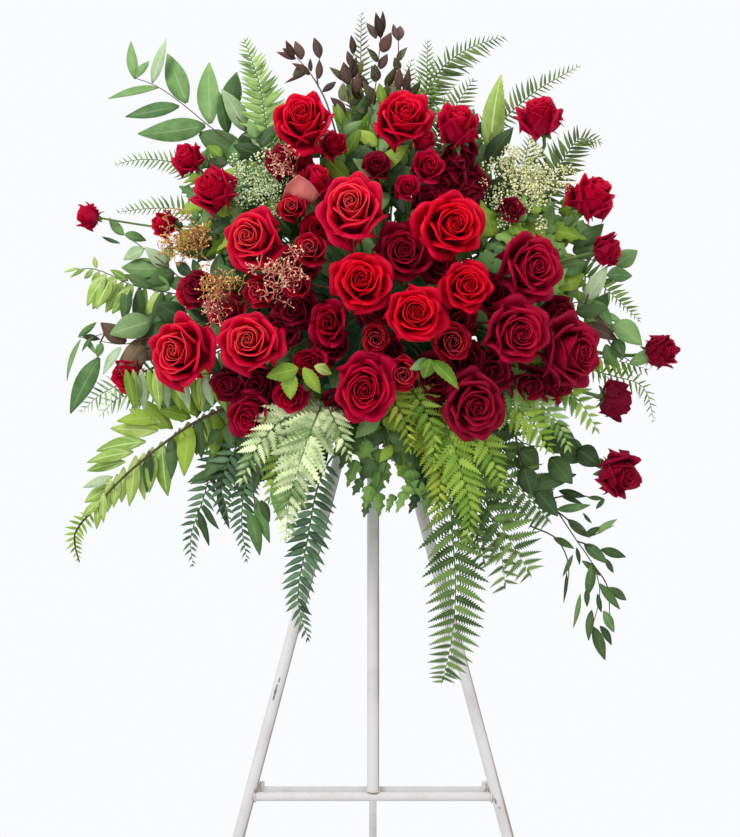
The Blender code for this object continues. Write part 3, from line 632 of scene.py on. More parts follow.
leaf_flesh, given, tools, (along, across, _), place_on = flesh_group("leaf_flesh", [
    ("Dark", (0.02, 0.08, 0.02, 1.0)), ("Light", (0.1, 0.3, 0.06, 1.0)),
    ("Vein", (0.3, 0.45, 0.2, 1.0)), ("Side veins", 9.0), ("Vein amount", 0.4), ("Shine", 0.4),
])
maths, step, blend, noise = tools
tone = add(leaf_flesh.nodes, "Attribute", attribute_name="tone").outputs["Fac"]
mottled = noise(place_on, 70.0, 4.0)
aside = maths("ABSOLUTE", maths("SUBTRACT", across, 0.5))
midrib = maths("SUBTRACT", 1.0, step(0.015, 0.06, aside))
turns = maths("MULTIPLY", maths("MULTIPLY_ADD", aside, -0.9, along), given["Side veins"])
side_vein = maths("SUBTRACT", 1.0, step(0.02, 0.14, maths("PINGPONG", turns, 0.5)))
shade = maths("ADD", maths("MULTIPLY_ADD", mottled, 0.8, -0.4), tone)
colour = blend(step(0.05, 0.95, shade), given["Dark"], given["Light"])
vein = maths("MAXIMUM", midrib, maths("MULTIPLY", side_vein, 0.4))
colour = blend(maths("MULTIPLY", vein, given["Vein amount"]), colour, given["Vein"])
give(
    leaf_flesh, colour, maths("MULTIPLY_ADD", mottled, 0.25, given["Shine"]),
    maths("MULTIPLY_ADD", vein, -0.8, mottled),
)


def leaf_material(name, dark, light, vein, side_veins=9.0, amount=0.4, shine=0.40):
    """A leaf's greens, the colour of its veins and how many side veins it has."""
    return material_with(
        name, leaf_flesh, (0.4, 0.0006),
        {"Dark": dark, "Light": light, "Vein": vein, "Side veins": side_veins,
         "Vein amount": amount, "Shine": shine},
        Specular_IOR_Level=0.22,
    )


STEM_GREEN = leaf_material(
    "stem_green", (0.050, 0.095, 0.022), (0.15, 0.23, 0.055), (0.16, 0.24, 0.07), 1.0, 0.1
)

# How a head opens, from the innermost petal to the outermost, for a head one unit wide:
# rim radius, rim height, belly radius, belly height, half angle in degrees, roll in degrees and
# the length of the lip that rolls.
OPENING = (0.0, 0.12, 0.25, 0.40, 0.55, 0.70, 0.85, 1.0)
OPEN_ROSE = {
    "rim": (0.018, 0.048, 0.088, 0.142, 0.212, 0.290, 0.358, 0.412),
    "top": (0.570, 0.590, 0.600, 0.590, 0.555, 0.480, 0.380, 0.285),
    "belly": (0.050, 0.078, 0.112, 0.150, 0.195, 0.235, 0.265, 0.285),
    "waist": (0.300, 0.310, 0.320, 0.320, 0.300, 0.250, 0.170, 0.090),
    "half": (135.0, 116.0, 98.0, 80.0, 65.0, 55.0, 48.0, 44.0),
    "roll": (0.0, 14.0, 30.0, 55.0, 85.0, 120.0, 145.0, 160.0),
    "lip": (0.03, 0.03, 0.04, 0.05, 0.065, 0.080, 0.090, 0.100),
}
CUPPED_ROSE = {
    "rim": (0.018, 0.046, 0.085, 0.130, 0.190, 0.262, 0.335, 0.405),
    "top": (0.600, 0.620, 0.640, 0.630, 0.610, 0.570, 0.510, 0.430),
    "belly": (0.050, 0.075, 0.105, 0.140, 0.175, 0.205, 0.230, 0.245),
    "waist": (0.300, 0.310, 0.320, 0.320, 0.290, 0.240, 0.180, 0.120),
    "half": (135.0, 116.0, 98.0, 80.0, 67.0, 58.0, 52.0, 48.0),
    "roll": (0.0, 10.0, 20.0, 40.0, 70.0, 110.0, 140.0, 155.0),
    "lip": (0.03, 0.03, 0.04, 0.045, 0.06, 0.08, 0.10, 0.115),
}
GOLDEN_TURN = math.radians(137.508)
PETAL_WALL, SEPAL_WALL = 0.0055, 0.008
HEAD_DEPTH = 0.372


def shape_petal(sheet_points, form, t, turn, luck, lean):
    """Puts a flat sheet's points (-1 to 1 both ways) on a petal of a head one unit wide."""
    at = {key: float(np.interp(t, OPENING, values)) for key, values in form.items()}
    u = sheet_points[:, 0]
    s = (sheet_points[:, 1] + 1) / 2
    # A wrapped petal ends in a soft arc, a guard petal in straight sides and a point.
    pointed = float(np.clip((t - 0.50) / 0.40, 0, 1))
    pointed = pointed * pointed * (3 - 2 * pointed)
    tip = luck.uniform(0.3, 1.2) * (0.02 + 0.07 * pointed)
    cut = luck.uniform(0.80, 1.15) * (0.15 + 0.17 * pointed)
    skew = luck.uniform(-0.16, 0.16) * pointed
    from_middle = np.abs(u - skew) / (1 + abs(skew))
    ends = 1 - cut * from_middle ** (2.6 - 1.2 * pointed) + tip * (1 - from_middle) ** 2
    stray = 0.070 * max(0.0, t - 0.55) + 0.006
    fallen = 1.0 if t > 0.90 and luck.random() < 0.35 else 0.0
    rim = at["rim"] + luck.uniform(-stray, stray) + 0.035 * fallen
    top = at["top"] + luck.uniform(-stray, stray) * 1.6 - 0.07 * fallen
    corners = np.array([
        (0.030, 0.0), (at["belly"] * 1.05, 0.01), (at["belly"] * 1.12, at["waist"]), (rim, top)
    ])
    bend = 0.84
    q = (np.minimum(s, bend) / bend * ends)[:, None]
    curve = (
        corners[0] * (1 - q) ** 3 + corners[1] * 3 * q * (1 - q) ** 2
        + corners[2] * 3 * q**2 * (1 - q) + corners[3] * q**3
    )
    # Past the bend the end turns outward and over, a guard petal's two sides most of all.
    leave = (
        (corners[1] - corners[0]) * (1 - q) ** 2 + (corners[2] - corners[1]) * 2 * q * (1 - q)
        + (corners[3] - corners[2]) * q**2
    )
    angle = np.arctan2(leave[:, 1], leave[:, 0])
    over = np.clip((s - bend) / (1 - bend), 0, 1)
    more_aside = (0.62 + 0.5 * np.abs(u)) * (1 - pointed) + (0.42 + 0.80 * np.abs(u)) * pointed
    roll = math.radians(at["roll"]) * luck.uniform(0.85, 1.15) * more_aside
    for i in range(8):
        turned = angle - roll * over * (i + 0.5) / 8
        curve[:, 0] += at["lip"] * over / 8 * np.cos(turned)
        curve[:, 1] += at["lip"] * over / 8 * np.sin(turned)
    # Rim waves, and the spiral that tucks one side of each petal under the next.
    beat, shift = luck.uniform(1.6, 3.2), luck.uniform(0, 6.3)
    wave = np.sin(beat * u * 2 + shift) * s**3 * (0.004 + 0.020 * t**1.5)
    corner = np.clip(np.abs(u) - 0.45, 0, 1) ** 2 * s**1.5
    radius = curve[:, 0] + wave + 0.022 * u * np.clip(s * 2, 0, 1) + corner * 0.32 * pointed
    height = curve[:, 1] + wave * 0.6 - corner * 0.38 * pointed
    radius = np.maximum(radius, 0.004)
    # The sheet is narrow at its foot and full above the middle.
    fullness = 0.62 + 0.38 * np.sin(np.clip(s * 1.25, 0, 1) * math.pi / 2)
    spread = math.radians(at["half"]) * luck.uniform(0.92, 1.08)
    bearing = turn + u * spread * fullness
    points = np.stack([radius * np.cos(bearing), radius * np.sin(bearing), height], 1)
    tilt = Matrix.Rotation(math.radians(luck.uniform(-lean, lean)), 3, "X")
    tilt = tilt @ Matrix.Rotation(math.radians(luck.uniform(-lean, lean)), 3, "Y")
    return points @ np.array(tilt.transposed())


petal_sheet = flat_sheet("petal_sheet", 11, 8)
small_petal_sheet = flat_sheet("small_petal_sheet", 6, 5)
sepal_sheet = flat_sheet("sepal_sheet", 2, 5)


def rose_head(name, form, petals, seed, start=0.0, end=1.0, sheet=petal_sheet, lean=2.5):
    """A whole head one unit wide, its foot at the origin, looking along Z."""
    luck = random.Random(seed)
    flat = points_of(sheet)
    made = []
    for i in range(petals):
        t = start + (end - start) * (i / (petals - 1)) ** 0.92
        petal = copy_of(sheet, Matrix.Identity(4), f"{name}_{i}")
        turn = i * GOLDEN_TURN + luck.uniform(-0.16, 0.16)
        put_points(petal, shape_petal(flat, form, t, turn, luck, lean * t))
        mark(petal, "ring", t)
        mark(petal, "tone", luck.random())
        made.append(coat(petal, RED, STEM_GREEN))
    head = thicken(joined(made, name), PETAL_WALL)
    # The calyx, a small green cup, and five sepals that hang from it.
    bpy.ops.mesh.primitive_uv_sphere_add(segments=12, ring_count=7, radius=0.075)
    cup = bpy.context.object
    cup.data.transform(Matrix.Translation((0, 0, -0.015)) @ Matrix.Diagonal((1, 1, 1.25, 1)))
    bpy.ops.object.shade_smooth()
    green = [cup]
    for i in range(5):
        sepal = copy_of(sepal_sheet, Matrix.Identity(4), f"{name}_sepal_{i}")
        flat_sepal = points_of(sepal)
        s = (flat_sepal[:, 1] + 1) / 2
        half = 0.055 * np.sin(math.pi * np.clip(s * 0.85 + 0.15, 0, 1)) ** 0.8
        out = 0.05 + 0.30 * s - 0.06 * s**2
        drop = 0.01 - 0.02 * s - luck.uniform(0.02, 0.14) * s**2
        side = flat_sepal[:, 0] * half
        bearing = i * math.tau / 5 + luck.uniform(-0.2, 0.2)
        put_points(sepal, np.stack([
            out * math.cos(bearing) - side * math.sin(bearing),
            out * math.sin(bearing) + side * math.cos(bearing),
            drop + 0.3 * np.abs(side),
        ], 1))
        green.append(thicken(sepal, SEPAL_WALL))
    for thing in green:
        coat(thing, RED, STEM_GREEN)
        thing.data.polygons.foreach_set("material_index", [1] * len(thing.data.polygons))
        mark(thing, "ring", 0.5)
        mark(thing, "tone", 0.45)
    return joined([head, *green], name)


ROSE_KINDS = {
    name: rose_head(name, form, petals, seed, lean=lean)
    for name, form, petals, seed, lean in (
        ("open_a", OPEN_ROSE, 29, 11, 2.5), ("open_b", OPEN_ROSE, 27, 23, 4.0),
        ("open_c", OPEN_ROSE, 30, 37, 3.0), ("open_d", OPEN_ROSE, 28, 53, 4.5),
        ("cupped", CUPPED_ROSE, 28, 41, 3.0), ("cupped_b", CUPPED_ROSE, 26, 59, 5.0),
        ("ragged", CUPPED_ROSE, 27, 73, 11.0),
    )
}


def neck_of(middle, way, diameter):
    """Where the stem meets a head that looks this way."""
    return middle - way * diameter * HEAD_DEPTH


def head_place(middle, way, diameter, roll, shape=(1.0, 1.0, 1.0)):
    """The matrix that puts a head one unit wide with its middle here, looking this way.

    shape stretches it to its right, to its top and along the way it looks.
    """
    return (
        Matrix.Translation(neck_of(middle, way, diameter)) @ turn_to(way)
        @ Matrix.Diagonal((*shape, 1.0)) @ Matrix.Rotation(roll, 4, "Z") @ Matrix.Scale(diameter, 4)
    )


# Name, seat, middle (right, forward, up), width, yaw, pitch, kind and petal colour. Lengths here
# and in the tables below are in millimetres, angles in degrees.
ROSES = (
    ("rose_top_left", ("top", -18, 1), (-97, 195, 272), 90, -10, 22, "open_b", RED),
    ("rose_top_right", "front", (42, 195, 276), 84, 8, 24, "open_c", RED),
    ("rose_upper_middle", "front", (-29, 260, 147), 100, -6, 20, "open_a", RED_GOLD),
    ("rose_upper_right", "front", (106, 270, 123), 99, 10, 5, "open_d", SCARLET),
    ("rose_upper_left", "front", (-166, 235, 107), 90, -18, 8, "open_c", RED_GOLD),
    ("rose_deep_centre", "front", (43, 225, 90), 92, 0, 5, "open_b", WINE),
    ("rose_centre", "front", (-16, 290, 48), 91, 0, 8, "open_c", SCARLET),
    ("rose_right_shoulder", "front", (216, 240, 67), 98, 18, 3, "open_a", WINE),
    ("rose_bright_centre", "front", (56, 305, 5), 86, 3, 4, "open_b", SCARLET),
    ("rose_inner_right", "front", (127, 285, 42), 74, 8, 3, "open_d", SCARLET),
    ("rose_right_middle", "front", (195, 270, -22), 94, 15, -3, "open_b", WINE),
    ("rose_right_edge", "front", (272, 230, -49), 98, 38, 0, "open_a", DARK_WINE),
    ("rose_left_edge", "front", (-266, 230, -48), 95, -18, 4, "open_d", RED_GOLD),
    ("rose_left_middle", "front", (-166, 270, -34), 90, -8, 8, "open_c", RED_GOLD),
    ("rose_lower_middle", "front", (-12, 270, -98), 91, 0, -5, "open_b", CRIMSON),
    ("rose_lower_right", "front", (139, 250, -121), 97, 10, -8, "open_c", DARK_WINE),
    ("rose_lower_left_dark", ("left", -38, 1), (-170, 190, -133), 79, -10, -20,
     "cupped", WINE),
    ("rose_side_left", ("left", 64, 1), (-222, 180, 177), 72, -48, 26, "open_b", CRIMSON),
    ("rose_far_top_right", ("top", 35, 1), (233, 150, 279), 70, -30, 58, "cupped", CRIMSON),
    ("rose_side_right", ("right", 62, 0), (309, 150, 169), 74, 42, 44, "open_d",
     CRIMSON),
    ("rose_right_bud", ("right", 34, 0), (329, 150, 92), 48, 70, 10, "cupped_b", WINE),
    ("rose_far_right", ("right", 8, 1), (410, 120, -50), 58, 60, 10, "ragged", DARK_WINE),
    ("rose_right_back", ("right", -20, 0), (343, 150, -117), 62, 110, -10, "cupped",
     MAROON),
    ("rose_low_right", ("right", -50, 1), (346, 170, -220), 70, 45, -10, "ragged",
     DARK_WINE),
)
# Heads that have opened taller than they are wide.
TALLER = {
    "rose_lower_middle": 1.20, "rose_left_edge": 1.14, "rose_upper_middle": 1.08,
    "rose_right_edge": 1.14, "rose_right_shoulder": 1.06, "rose_lower_right": 1.05,
    "rose_low_right": 1.15,
}
ROSE_STEM = (0.0028, 0.0026)
luck = random.Random(5)
for name, seat, middle, width, yaw, pitch, kind, colour in ROSES:
    entry, out = seat_in_foam(seat, middle[0], middle[2])
    way, centre = facing(yaw, pitch), spot(*middle)
    width /= 1000
    shape = (luck.uniform(0.95, 1.05), TALLER.get(name, 1.0), luck.uniform(0.96, 1.10))
    head = copy_of(
        ROSE_KINDS[kind], head_place(centre, way, width, luck.uniform(0, math.tau), shape),
        name + "_head",
    )
    head.data.materials[0] = colour
    line = smooth_path(entry - out * PUSHED_IN, out, neck_of(centre, way, width), way, 14)
    stem = stem_along(name + "_stem", line, ROSE_STEM, STEM_GREEN)
    bare(head)
    rose = joined([head, stem], name + "_flower")
    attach(rose, "front_frame")
    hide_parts(name)

for thing in ROSE_KINDS.values():
    bpy.data.objects.remove(thing)

# ----------------------------------------
# Spray roses
# Small cupped garden roses, several to a stem. Each branch leaves the trunk near its fork, and
# the trunk is pushed into the foam as one stem.
# ----------------------------------------
FIRST_FORK, FORK_STEP = 0.90, 0.16
TRUNK, BRANCH, DEEP_STEM = (0.0022, 0.0020), (0.0018, 0.0017), (0.0020, 0.0018)
PINK_EDGED = petal_material(
    "pink_edged_petal", (0.09, 0.0, 0.006), (0.52, 0.002, 0.018), (0.34, 0.001, 0.020),
    (0.85, 0.16, 0.20), 0.60,
)
SALMON = petal_material(
    "salmon_petal", (0.55, 0.07, 0.07), (0.80, 0.24, 0.20), (0.78, 0.25, 0.22),
    (0.86, 0.42, 0.34), 0.6,
)
SPRAY_KINDS = (
    rose_head("spray_a", CUPPED_ROSE, 20, 51, 0.12, 1.0, small_petal_sheet, 4.0),
    rose_head("spray_b", OPEN_ROSE, 19, 67, 0.15, 0.95, small_petal_sheet, 5.0),
)

# Name, seat, fork, colour, and the heads: middle, width, yaw and pitch.
SPRAYS = (
    ("spray_rose_top_left", "front", (-70, 130, 160), CRIMSON, (
        ((-55, 170, 239), 45, 5, 30), ((-100, 160, 215), 32, -20, 30),
        ((-80, 190, 186), 54, 25, 48))),
    ("spray_rose_top_right", "front", (55, 140, 140), CRIMSON, (
        ((47, 210, 178), 38, 0, 15), ((76, 195, 207), 45, 10, 15),
        ((70, 190, 242), 34, 0, 35), ((117, 185, 262), 60, 6, 55))),
    ("spray_rose_upper_left", "front", (-90, 150, 60), PINK_EDGED, (
        ((-112, 220, 150), 40, -10, 20), ((-85, 235, 92), 50, -5, 10),
        ((-106, 230, 44), 48, -10, 0), ((-156, 205, 36), 46, -25, 0))),
    ("spray_rose_middle", "front", (45, 170, -45), PINK_EDGED, (
        ((3, 245, -30), 47, 0, 0), ((40, 250, -78), 47, 5, -5),
        ((108, 245, -35), 52, 10, 0))),
    ("spray_rose_lower_left", "front", (-70, 165, -40), CRIMSON, (
        ((-60, 215, -10), 66, -5, 5), ((-85, 230, -62), 47, -5, 0),
        ((-115, 225, -110), 52, -10, -10))),
    ("spray_rose_far_left", ("left", 40, 0), (-200, 100, 130), CRIMSON, (
        ((-262, 130, 223), 48, -40, 30), ((-301, 120, 131), 46, -60, 5),
        ((-408, 100, 143), 42, -80, 10))),
    ("spray_rose_dark_right", "front", (130, 145, 150), MAROON, (
        ((120, 155, 222), 66, 10, -55), ((106, 165, 192), 56, -20, -30),
        ((134, 155, 180), 60, 35, -40), ((194, 160, 150), 40, 20, 10))),
    ("spray_rose_low_far_left", ("left", -16, 1), (-210, 120, -20), CRIMSON, (
        ((-262, 160, 35), 52, -70, 5), ((-352, 120, -87), 55, -40, -10))),
)
luck = random.Random(8)
for name, seat, fork, colour, heads in SPRAYS:
    entry, out = seat_in_foam(seat, fork[0], fork[2])
    fork_point = spot(*fork)
    to_fork = (fork_point - entry).normalized()
    trunk = smooth_path(entry, out, fork_point, to_fork, 3)
    line = smooth_path(entry - out * PUSHED_IN, out, fork_point, to_fork, 10)
    made = [stem_along(name + "_trunk", line, TRUNK, STEM_GREEN)]
    for number, (middle, width, yaw, pitch) in enumerate(heads, 1):
        way, centre = facing(yaw, pitch), spot(*middle)
        width /= 1000
        start = trunk[-2].lerp(fork_point, FIRST_FORK - FORK_STEP * number)
        foot = neck_of(centre, way, width)
        head = copy_of(
            SPRAY_KINDS[luck.randrange(2)], head_place(
                centre, way, width * 1.08, luck.uniform(0, 6.3),
                (luck.uniform(0.86, 1.12), luck.uniform(0.9, 1.15), luck.uniform(0.9, 1.2)),
            ), f"{name}_head_{number}",
        )
        head.data.materials[0] = colour
        line = smooth_path(start, (centre - start).normalized(), foot, way, 8)
        branch = stem_along(f"{name}_branch_{number}", line, BRANCH, STEM_GREEN, 1)
        made += [head, branch]
        if "top_left" in name and number == 3:
            # One outer petal of this flower has opened in pale salmon.
            petal = copy_of(petal_sheet, Matrix.Identity(4), name + "_pale_petal")
            put_points(petal, shape_petal(points_of(petal), CUPPED_ROSE, 0.88, -1.5, luck, 1.0))
            mark(petal, "ring", 1.0)
            mark(petal, "tone", 0.5)
            thicken(coat(petal, SALMON), PETAL_WALL)
            petal.data.transform(head_place(spot(-100, 200, 186), facing(-10, 70), 0.084, 0.0))
            made.append(petal)
    spray = joined(made, name + "_flowers")
    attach(spray, "front_frame")
    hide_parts(name)

# Shorter garden roses deep between the others, with only their outer faces in the light:
# middle (right, forward, up), width, yaw, pitch and the colour where it isn't maroon.
DEEP_BLOOMS = (
    ((85, 205, -85), 78, 0, -5), ((75, 190, -125), 66, 0, -15),
    ((165, 205, -75), 70, 10, -5), ((-45, 200, -125), 68, -5, -10),
    ((-110, 200, 10), 70, -10, 0), ((0, 200, 10), 66, 0, 0),
    ((165, 195, 30), 68, 10, 0), ((-160, 200, -92), 66, -15, -10),
    ((215, 195, -95), 66, 20, -10), ((-205, 190, 10), 60, -20, 0, CRIMSON),
    ((-125, 180, 215), 60, -20, 30), ((5, 180, 210), 50, 0, 20),
    ((255, 185, 5), 62, 30, 0), ((90, 205, 70), 60, 5, 0),
    ((80, 180, 158), 58, 5, 10), ((130, 215, -62), 70, 5, 0),
    ((20, 200, -50), 64, 0, 0),
    ((-75, 205, 120), 62, -5, 10, CRIMSON), ((-100, 215, 75), 60, -10, 5),
    ((-130, 205, -20), 60, -10, 0), ((-60, 200, -40), 66, 0, 0),
    ((120, 200, -5), 64, 5, 0), ((250, 190, -95), 58, 30, -10),
    ((-245, 190, 40), 56, -30, 5), ((-200, 190, -95), 56, -25, -10),
)
made = []
for number, (middle, width, yaw, pitch, *colour) in enumerate(DEEP_BLOOMS):
    way, centre = facing(yaw, pitch), spot(*middle)
    entry, out = seat_in_foam("front", middle[0] * 0.8, middle[2] * 0.8)
    width /= 1000
    head = copy_of(
        SPRAY_KINDS[number % 2], head_place(
            centre, way, width, number * 1.3, (0.90 + 0.05 * (number % 5), 1.0, 1.0)
        ), f"deep_{number}"
    )
    head.data.materials[0] = colour[0] if colour else MAROON
    line = smooth_path(entry, out, neck_of(centre, way, width), way, 8)
    made += [head, stem_along(f"deep_stem_{number}", line, DEEP_STEM, STEM_GREEN, 1)]
deep = joined(made, "deep_garden_roses")
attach(deep, "front_frame")

for thing in (*SPRAY_KINDS, petal_sheet, small_petal_sheet, sepal_sheet):
    bpy.data.objects.remove(thing)

# ----------------------------------------
# Ferns
# Sword, lady and leather ferns. Each frond is a wiry midrib with pairs of blades that shorten
# towards its tip. They are pushed in round the foam's sides and arch out and down.
# ----------------------------------------
fern_material = partial(leaf_material, side_veins=12.0, amount=0.35, shine=0.5)
FERN_PALE = fern_material("pale_fern", (0.075, 0.18, 0.028), (0.80, 0.92, 0.52), (0.82, 0.93, 0.58))
FERN_GREEN = fern_material("green_fern", (0.050, 0.12, 0.018), (0.24, 0.38, 0.08), (0.32, 0.46, 0.15))
FERN_LIME = fern_material("lime_fern", (0.10, 0.22, 0.015), (0.30, 0.46, 0.055), (0.38, 0.50, 0.12))
FERN_FRESH = fern_material("fresh_fern", (0.10, 0.21, 0.040), (0.34, 0.52, 0.16), (0.44, 0.58, 0.24))
FERN_DARK = fern_material("dark_fern", (0.030, 0.070, 0.035), (0.13, 0.24, 0.13), (0.22, 0.34, 0.20))
FERN_GOLD = fern_material(
    "yellow_green_fern", (0.13, 0.21, 0.012), (0.40, 0.48, 0.05), (0.48, 0.54, 0.13), amount=0.3
)
FERN_DEEP = fern_material(
    "deep_green_fern", (0.026, 0.066, 0.014), (0.145, 0.255, 0.055), (0.22, 0.34, 0.11), shine=0.55
)
FERN_OLIVE = fern_material("olive_fern", (0.040, 0.075, 0.018), (0.17, 0.25, 0.065), (0.26, 0.34, 0.13))
RIB_BROWN = leaf_material(
    "brown_rib", (0.030, 0.020, 0.012), (0.10, 0.065, 0.035), (0.10, 0.07, 0.03), 1.0, 0.1
)


def blade(name, cuts, half_width, teeth=0.0, fold=0.25, droop=0.10, wall=0.010, widest=0.35, lobes=0.0):
    """A flat leaf of unit length along X, from its own foot, with folded halves."""
    made = flat_sheet(name, cuts, 2)
    flat = points_of(made)
    a = (flat[:, 0] + 1) / 2
    column = np.round(a * cuts).astype(int)
    power = math.log(0.5) / math.log(widest)
    outline = half_width * np.sin(math.pi * np.clip(a, 0.015, 0.985) ** power) ** 0.85
    outline *= 1 - lobes * np.sin(math.pi * (a - 0.22) / 0.36) ** 2 * (a > 0.22)
    if teeth:
        outline *= np.where(column % 2 == 0, 1.0, 1.0 - teeth)
    y = flat[:, 1] * outline
    lean_on = np.where(column % 2 == 0, 0.55 * teeth * np.abs(y), 0.0)
    put_points(made, np.stack([a + lean_on, y, fold * np.abs(y) - droop * a**2], 1))
    mark(made, "ring", 0.5)
    mark(made, "tone", 0.5)
    return thicken(made, wall)


def grown(source, name, foot, way, face, length, width=1.0, bend=0.0, twist=0.0):
    """A copy of a flat leaf that grows from its foot along way and shows its front to face."""
    way = Vector(way).normalized()
    side = Vector(face).cross(way).normalized()
    turn = np.array([way, side, way.cross(side)])
    made = copy_of(source, Matrix.Identity(4), name)
    flat = points_of(made)
    along = flat[:, 0]
    y, z = flat[:, 1] * width + bend * along**2, flat[:, 2]
    wrung = twist * along
    y, z = y * np.cos(wrung) - z * np.sin(wrung), y * np.sin(wrung) + z * np.cos(wrung)
    put_points(made, np.stack([along, y, z], 1) * length @ turn + np.array(foot))
    return made


def through(points, count):
    """Points on a smooth line through a few given ones."""
    given = np.array([tuple(p) for p in points])
    reached = np.concatenate([[0], np.cumsum(np.linalg.norm(np.diff(given, axis=0), axis=1))])
    reached /= reached[-1]
    slopes = np.gradient(given, reached, axis=0)
    line = []
    for t in np.linspace(0, 1, count + 1):
        k = min(int(np.searchsorted(reached, t, "right")) - 1, len(given) - 2)
        gap = reached[k + 1] - reached[k]
        q = (t - reached[k]) / gap
        line.append(Vector(
            given[k] * (1 + 2 * q) * (1 - q) ** 2 + slopes[k] * gap * q * (1 - q) ** 2
            + given[k + 1] * q * q * (3 - 2 * q) + slopes[k + 1] * gap * q * q * (q - 1)
        ))
    return line


def on_line(line, t):
    """A point on a line at share t, and the way the line goes there."""
    at = min(max(t, 0.0) * (len(line) - 1), len(line) - 1.001)
    k = int(at)
    return line[k].lerp(line[k + 1], at - k), (line[k + 1] - line[k]).normalized()


def route_from(seat, *places, count=26):
    """A smooth line from a seat in the foam through places given from the focus."""
    entry, out = seat_in_foam(seat)
    leaves_foam = entry + out * STRAIGHT_OUT
    return through([entry - out * PUSHED_IN, leaves_foam, *(spot(*p) for p in places)], count)


FERN_BLADES = {
    "plain": blade("plain_blade", 5, 0.110, wall=0.018, widest=0.25),
    "lance": blade("lance_blade", 7, 0.135, fold=0.30, wall=0.012, widest=0.30),
    "comb": blade("comb_blade", 24, 0.165, 0.66, wall=0.012, widest=0.18),
    "lobed": blade("lobed_blade", 14, 0.250, 0.50, wall=0.012, widest=0.28),
    "lacy": blade("lacy_blade", 18, 0.230, 0.64, wall=0.012, widest=0.22),
    "fine": blade("fine_blade", 5, 0.080, droop=0.22, wall=0.016, widest=0.25),
}
MIDRIB = (0.0018, 0.0015, 0.0010, 0.0004)
# How long the blades are from a frond's foot to its tip, for a longest blade of one.
ALONG_FROND = (0.0, 0.12, 0.3, 0.55, 0.8, 0.95, 1.0)
TAPERED = (0.62, 0.86, 1.0, 0.92, 0.62, 0.30, 0.14)
FULL = (0.90, 1.0, 0.96, 0.74, 0.46, 0.24, 0.12)
BROAD_TIP = (0.90, 1.0, 1.0, 0.84, 0.62, 0.44, 0.26)
# Blade, lengths, the angle that blades make with the midrib at the foot and at the tip, and how
# much closer the pairs are at the tip.
FROND_KINDS = {
    "sword": ("plain", TAPERED, 82, 50),
    "fine": ("fine", TAPERED, 80, 48),
    "tassel": ("lance", TAPERED, 82, 42),
    "lady": ("comb", BROAD_TIP, 58, 84, 1.4),
    "lacy": ("lacy", FULL, 72, 56),
    "leather": ("lobed", FULL, 66, 52),
}


def frond(name, line, kind, pairs, bare_share, longest, material, rib=STEM_GREEN, sides=(1.0, 1.0),
          hang=0.0, seed=1, face=(0.05, -1.0, 0.15)):
    """A whole frond: its midrib along a line, and a blade on each side for every pair."""
    luck = random.Random(f"{name}{seed}")
    source, lengths, angle_low, angle_high, *crowded = FROND_KINDS[kind]
    made = []
    for i in range(pairs):
        share = 1 - (1 - i / pairs) ** (crowded[0] if crowded else 1.0)
        length = longest * float(np.interp(share, ALONG_FROND, lengths))
        for side in (1, -1):
            t = bare_share + (0.985 - bare_share) * (share + (0.4 / pairs if side < 0 else 0.0))
            foot, way = on_line(line, t)
            outward = Vector(face).cross(way).normalized() * side
            angle = math.radians(angle_low + (angle_high - angle_low) * share + luck.uniform(-5, 5))
            heading = way * math.cos(angle) + outward * math.sin(angle) + Vector((0, 0, -hang))
            heading += Vector((0, luck.uniform(-0.15, 0.15), 0))
            looks = Vector(face) + stray(luck, 0.3)
            reach = length * sides[side < 0] * luck.uniform(0.88, 1.08)
            one = grown(
                FERN_BLADES[source], f"{name}_{i}", foot, heading, looks, reach,
                luck.uniform(0.9, 1.1), -0.10 * side * luck.uniform(0.2, 1.0), luck.uniform(-0.3, 0.3),
            )
            mark(one, "tone", luck.uniform(0.15, 0.85))
            made.append(one)
    foot, way = on_line(line, 0.97)
    made.append(grown(FERN_BLADES[source], name + "_end", foot, way, face, longest * 0.22))
    for one in made:
        coat(one, material)
    midrib = stem_along(name + "_rib", line[:-1], MIDRIB, rib, 1)
    return joined([*made, midrib], name)


